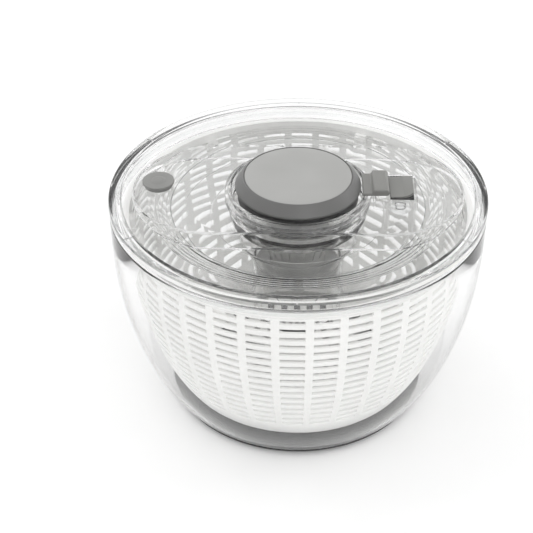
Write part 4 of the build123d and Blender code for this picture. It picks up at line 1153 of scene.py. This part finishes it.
@dataclass
class Controls:
    """Lock slider and brake button in their clear tray."""

    tongue: float = 0.0022
    bevel: float = 0.0014
    tray_wall: float = 0.0016
    leg_end: float = 0.058
    leg_drop: float = 0.0044
    leg_half_width: float = 0.0045
    edge_round: float = 0.0005
    button_drop: float = 0.0006
    body_drop: float = 0.0016
    stem_radius: float = 0.0040
    pad_corner: float = 0.0065
    pad_inner_rise: float = 0.0012
    pad_middle_rise: float = 0.0015
    pad_gap: float = 0.0002

    def build(self) -> None:
        """Makes the tray, the slider, the button and its pad."""
        tray = merged_copy("control_tray", "control_tray_clear", 25.0)
        place(tray, "lid", "clear_shell", CLEAR_THIN, "control_tray")
        self.build_slider()
        self.build_button()

    def build_slider(self) -> None:
        """Makes the slider: a flat tongue, a raised thumb block and a leg down into the tray."""
        low, high = box_of("lock_slider")
        tray_low, tray_high = box_of("control_tray")
        under = tray_high[2] + 0.0004
        over = under + self.tongue
        start = tray_low[0]
        side = [
            (low[0], under),
            (low[0], over),
            (start - self.bevel, over),
            (start, high[2]),
            (high[0] - self.bevel, high[2]),
            (high[0], high[2] - self.bevel),
            (high[0], under + self.tongue / 2),
            (high[0] - self.bevel, under),
        ]
        thumb = prism("lock_block", side, high[1])
        softened(thumb, self.edge_round * 1.6, 3, 0.5)
        leg_start = start + self.tray_wall + 0.0004
        leg_side = [
            (leg_start, under - self.leg_drop),
            (self.leg_end, under - self.leg_drop),
            (self.leg_end, under + 0.0004),
            (leg_start, under + 0.0004),
        ]
        leg = prism("lock_leg", leg_side, self.leg_half_width)
        softened(leg, self.edge_round, 2, 0.5)
        slider = joined([thumb, leg], "lock_slider_grey")
        place(slider, "lock", "grey_control", CONTROL_ABS, "lock_slider")

    def build_button(self) -> None:
        """Makes the button's body and the dished pad on it, flat on its inner side and round on its outer."""
        low, high = box_of("brake_button")
        rim_top = box_of("lid_shell")[1][2]
        body_top = rim_top + self.button_drop
        body_under = rim_top - self.body_drop
        body = prism(
            "button_body",
            [(low[0], body_under), (high[0], body_under), (high[0], body_top), (low[0], body_top)],
            high[1],
        )
        softened(body, self.edge_round, 3, 0.5)
        shoe = box_of("brake_shoe")
        middle = ((shoe[0][0] + shoe[1][0]) / 2, (shoe[0][1] + shoe[1][1]) / 2)
        deselect()
        bpy.ops.mesh.primitive_cylinder_add(
            vertices=48,
            radius=self.stem_radius,
            depth=body_under - shoe[1][2],
            location=(middle[0], middle[1], (body_under + shoe[1][2]) / 2),
        )
        stem = bpy.context.object
        stem.name = "button_stem"
        smoothed(stem, 35.0)
        place(stem, "brake", "clear_shell", CLEAR_THIN)
        # Painted shade: the button's body takes the near-black finish, standing for the shade of the gap it
        # sits in.
        place(body, "brake", "grey_control", SHADE_ABS, "brake_button")
        pad = self.build_pad(low, high, rim_top, body_top)
        place(pad, "brake", "grey_control", CONTROL_ABS)

    def build_pad(self, low: Vector, high: Vector, rim_top: float, under: float) -> bpy.types.Object:
        """Cuts the pad's dished bar to its round outer end."""
        start = (low[0], rim_top + self.pad_inner_rise)
        end = (high[0], high[2])
        middle = ((low[0] + high[0]) / 2, rim_top + self.pad_middle_rise)
        steps = 16
        lift = middle[1] - (start[1] + end[1]) / 2
        top = []
        for k in range(steps + 1):
            t = k / steps
            height = start[1] + (end[1] - start[1]) * t + 4 * t * (1 - t) * lift
            top.append((start[0] + (end[0] - start[0]) * t, height))
        width = high[1] - self.pad_gap
        pad = prism("brake_pad", [(start[0], under - MM / 5), *top, (end[0], under - MM / 5)], width)
        length, height = 0.04, 0.03
        cutter = block("pad_cutter", (length, 2 * width, height), (high[0] - length / 2, 0, rim_top))
        bpy.ops.object.mode_set(mode="EDIT")
        bpy.ops.mesh.select_all(action="SELECT")
        bpy.ops.mesh.bevel(offset=self.pad_corner, segments=12, affect="EDGES", offset_type="OFFSET")
        bpy.ops.object.mode_set(mode="OBJECT")
        modify(pad, "BOOLEAN", operation="INTERSECT", object=cutter, solver="EXACT")
        bpy.data.objects.remove(cutter)
        softened(pad, self.edge_round, 3, 0.6)
        return smoothed(pad, 30.0)


def dress_mechanism() -> None:
    """Takes the mechanism that shows through the clear walls from the frame, with its faces smoothed."""
    shown = {
        "housing": ("lid", "grey_housing", MECHANISM_ABS),
        "guide_bush": ("lid", "acetal", ACETAL),
        "clutch_cup": ("turntable", "grey_housing", MECHANISM_ABS),
        "plunger": ("knob", "grey_housing", MECHANISM_ABS),
    }
    for node, (body, slot, finish) in shown.items():
        place(merged_copy(node, node + "_smooth", 25.0), body, slot, finish, node)


# ------------------------------------------------------------------ stage
@dataclass
class Studio:
    """Pale floor, soft light and the camera."""

    floor_size: float = 12.0
    lens: float = 80.52
    distance: float = 0.8375
    elevation: float = 32.468
    yaw: float = -0.904
    pitch: float = 1.904
    shift: Point = (-0.0294, -0.0745)
    dome_strength: float = 1.3
    zenith: float = 0.62

    def build(self) -> None:
        """Makes the floor, world, lights and camera."""
        self.build_floor()
        self.build_world()
        self.build_lights()
        self.build_camera()
        scene = bpy.context.scene
        scene.view_settings.view_transform = "Standard"
        scene.cycles.max_bounces = 32
        scene.cycles.transmission_bounces = 28
        scene.cycles.glossy_bounces = 8
        scene.cycles.diffuse_bounces = 5
        scene.cycles.use_denoising = True

    def build_floor(self) -> None:
        """Lays the floor a hair under the object."""
        deselect()
        bpy.ops.mesh.primitive_plane_add(size=self.floor_size, location=(0, 0, CAD_BOX[0][2] - MM / 10))
        floor = bpy.context.object
        floor.name = "studio_floor"
        bpy.ops.object.transform_apply(location=True, rotation=True, scale=True)
        floor.data.materials.append(FLOOR.material())

    def build_world(self) -> None:
        """Bright dome that darkens towards the zenith, so clear edges read as thin grey lines."""
        world = bpy.data.worlds.new("studio_dome")
        bpy.context.scene.world = world
        world.use_nodes = True
        tree = world.node_tree
        tree.nodes.clear()
        direction = add_node(tree, "ShaderNodeTexCoord").outputs["Generated"]
        split = add_node(tree, "ShaderNodeSeparateXYZ", links={"Vector": direction})
        ramp = add_node(tree, "ShaderNodeValToRGB", links={"Fac": split.outputs["Z"]})
        ramp.color_ramp.elements[0].position = 0.1
        ramp.color_ramp.elements[0].color = (1.0, 1.0, 1.0, 1.0)
        ramp.color_ramp.elements[1].position = 0.9
        ramp.color_ramp.elements[1].color = (self.zenith, self.zenith, self.zenith, 1.0)
        colour = ramp.outputs["Color"]
        sky = add_node(tree, "ShaderNodeBackground", {"Strength": self.dome_strength}, {"Color": colour})
        output = add_node(tree, "ShaderNodeOutputWorld")
        tree.links.new(sky.outputs["Background"], output.inputs["Surface"])

    def build_lights(self) -> None:
        """Hangs three soft boxes round the object, aimed at its middle."""
        middle = (Vector(CAD_BOX[0]) + Vector(CAD_BOX[1])) / 2
        boxes = {
            "key_box": ((-0.9, 0.5, 1.5), 1.4, 5.0),
            "front_box": ((0.5, -1.3, 1.1), 0.8, 3.0),
            "side_box": ((1.4, 0.4, 0.9), 0.7, 3.0),
        }
        for name, (spot, size, power) in boxes.items():
            light = bpy.data.lights.new(name, "AREA")
            light.size = size
            light.energy = power
            lamp = bpy.data.objects.new(name, light)
            lamp.location = spot
            lamp.rotation_euler = (middle - Vector(spot)).to_track_quat("-Z", "Y").to_euler()
            bpy.context.scene.collection.objects.link(lamp)

    def build_camera(self) -> None:
        """Stands the camera in front of the object and aims it a little below and beside the rim's centre."""
        elevation, yaw = math.radians(self.elevation), math.radians(self.yaw)
        tilt = -(elevation + math.radians(self.pitch))
        rim_top = box_of("lid_shell")[1][2]
        rise = self.distance * math.sin(elevation)
        spot = Vector((0, -self.distance * math.cos(elevation), rim_top + rise))
        aim = Vector((math.sin(yaw) * math.cos(tilt), math.cos(yaw) * math.cos(tilt), math.sin(tilt)))
        data = bpy.data.cameras.new("camera")
        data.lens = self.lens
        data.shift_x, data.shift_y = self.shift
        camera = bpy.data.objects.new("camera", data)
        camera.location = spot
        camera.rotation_euler = aim.to_track_quat("-Z", "Y").to_euler()
        bpy.context.scene.collection.objects.link(camera)
        bpy.context.scene.camera = camera


def main() -> None:
    """Builds the sub-assemblies in order, then the studio."""
    logging.basicConfig(level=logging.INFO, format="%(message)s")
    dress_frame()
    dress_mechanism()
    for assembly in (Bowl(), Basket(), DrivePlate(), Lid(), Knob(), Controls(), VentPlug(), Studio()):
        LOG.info("building %s", type(assembly).__name__)
        assembly.build()


if __name__ == "__main__":
    main()
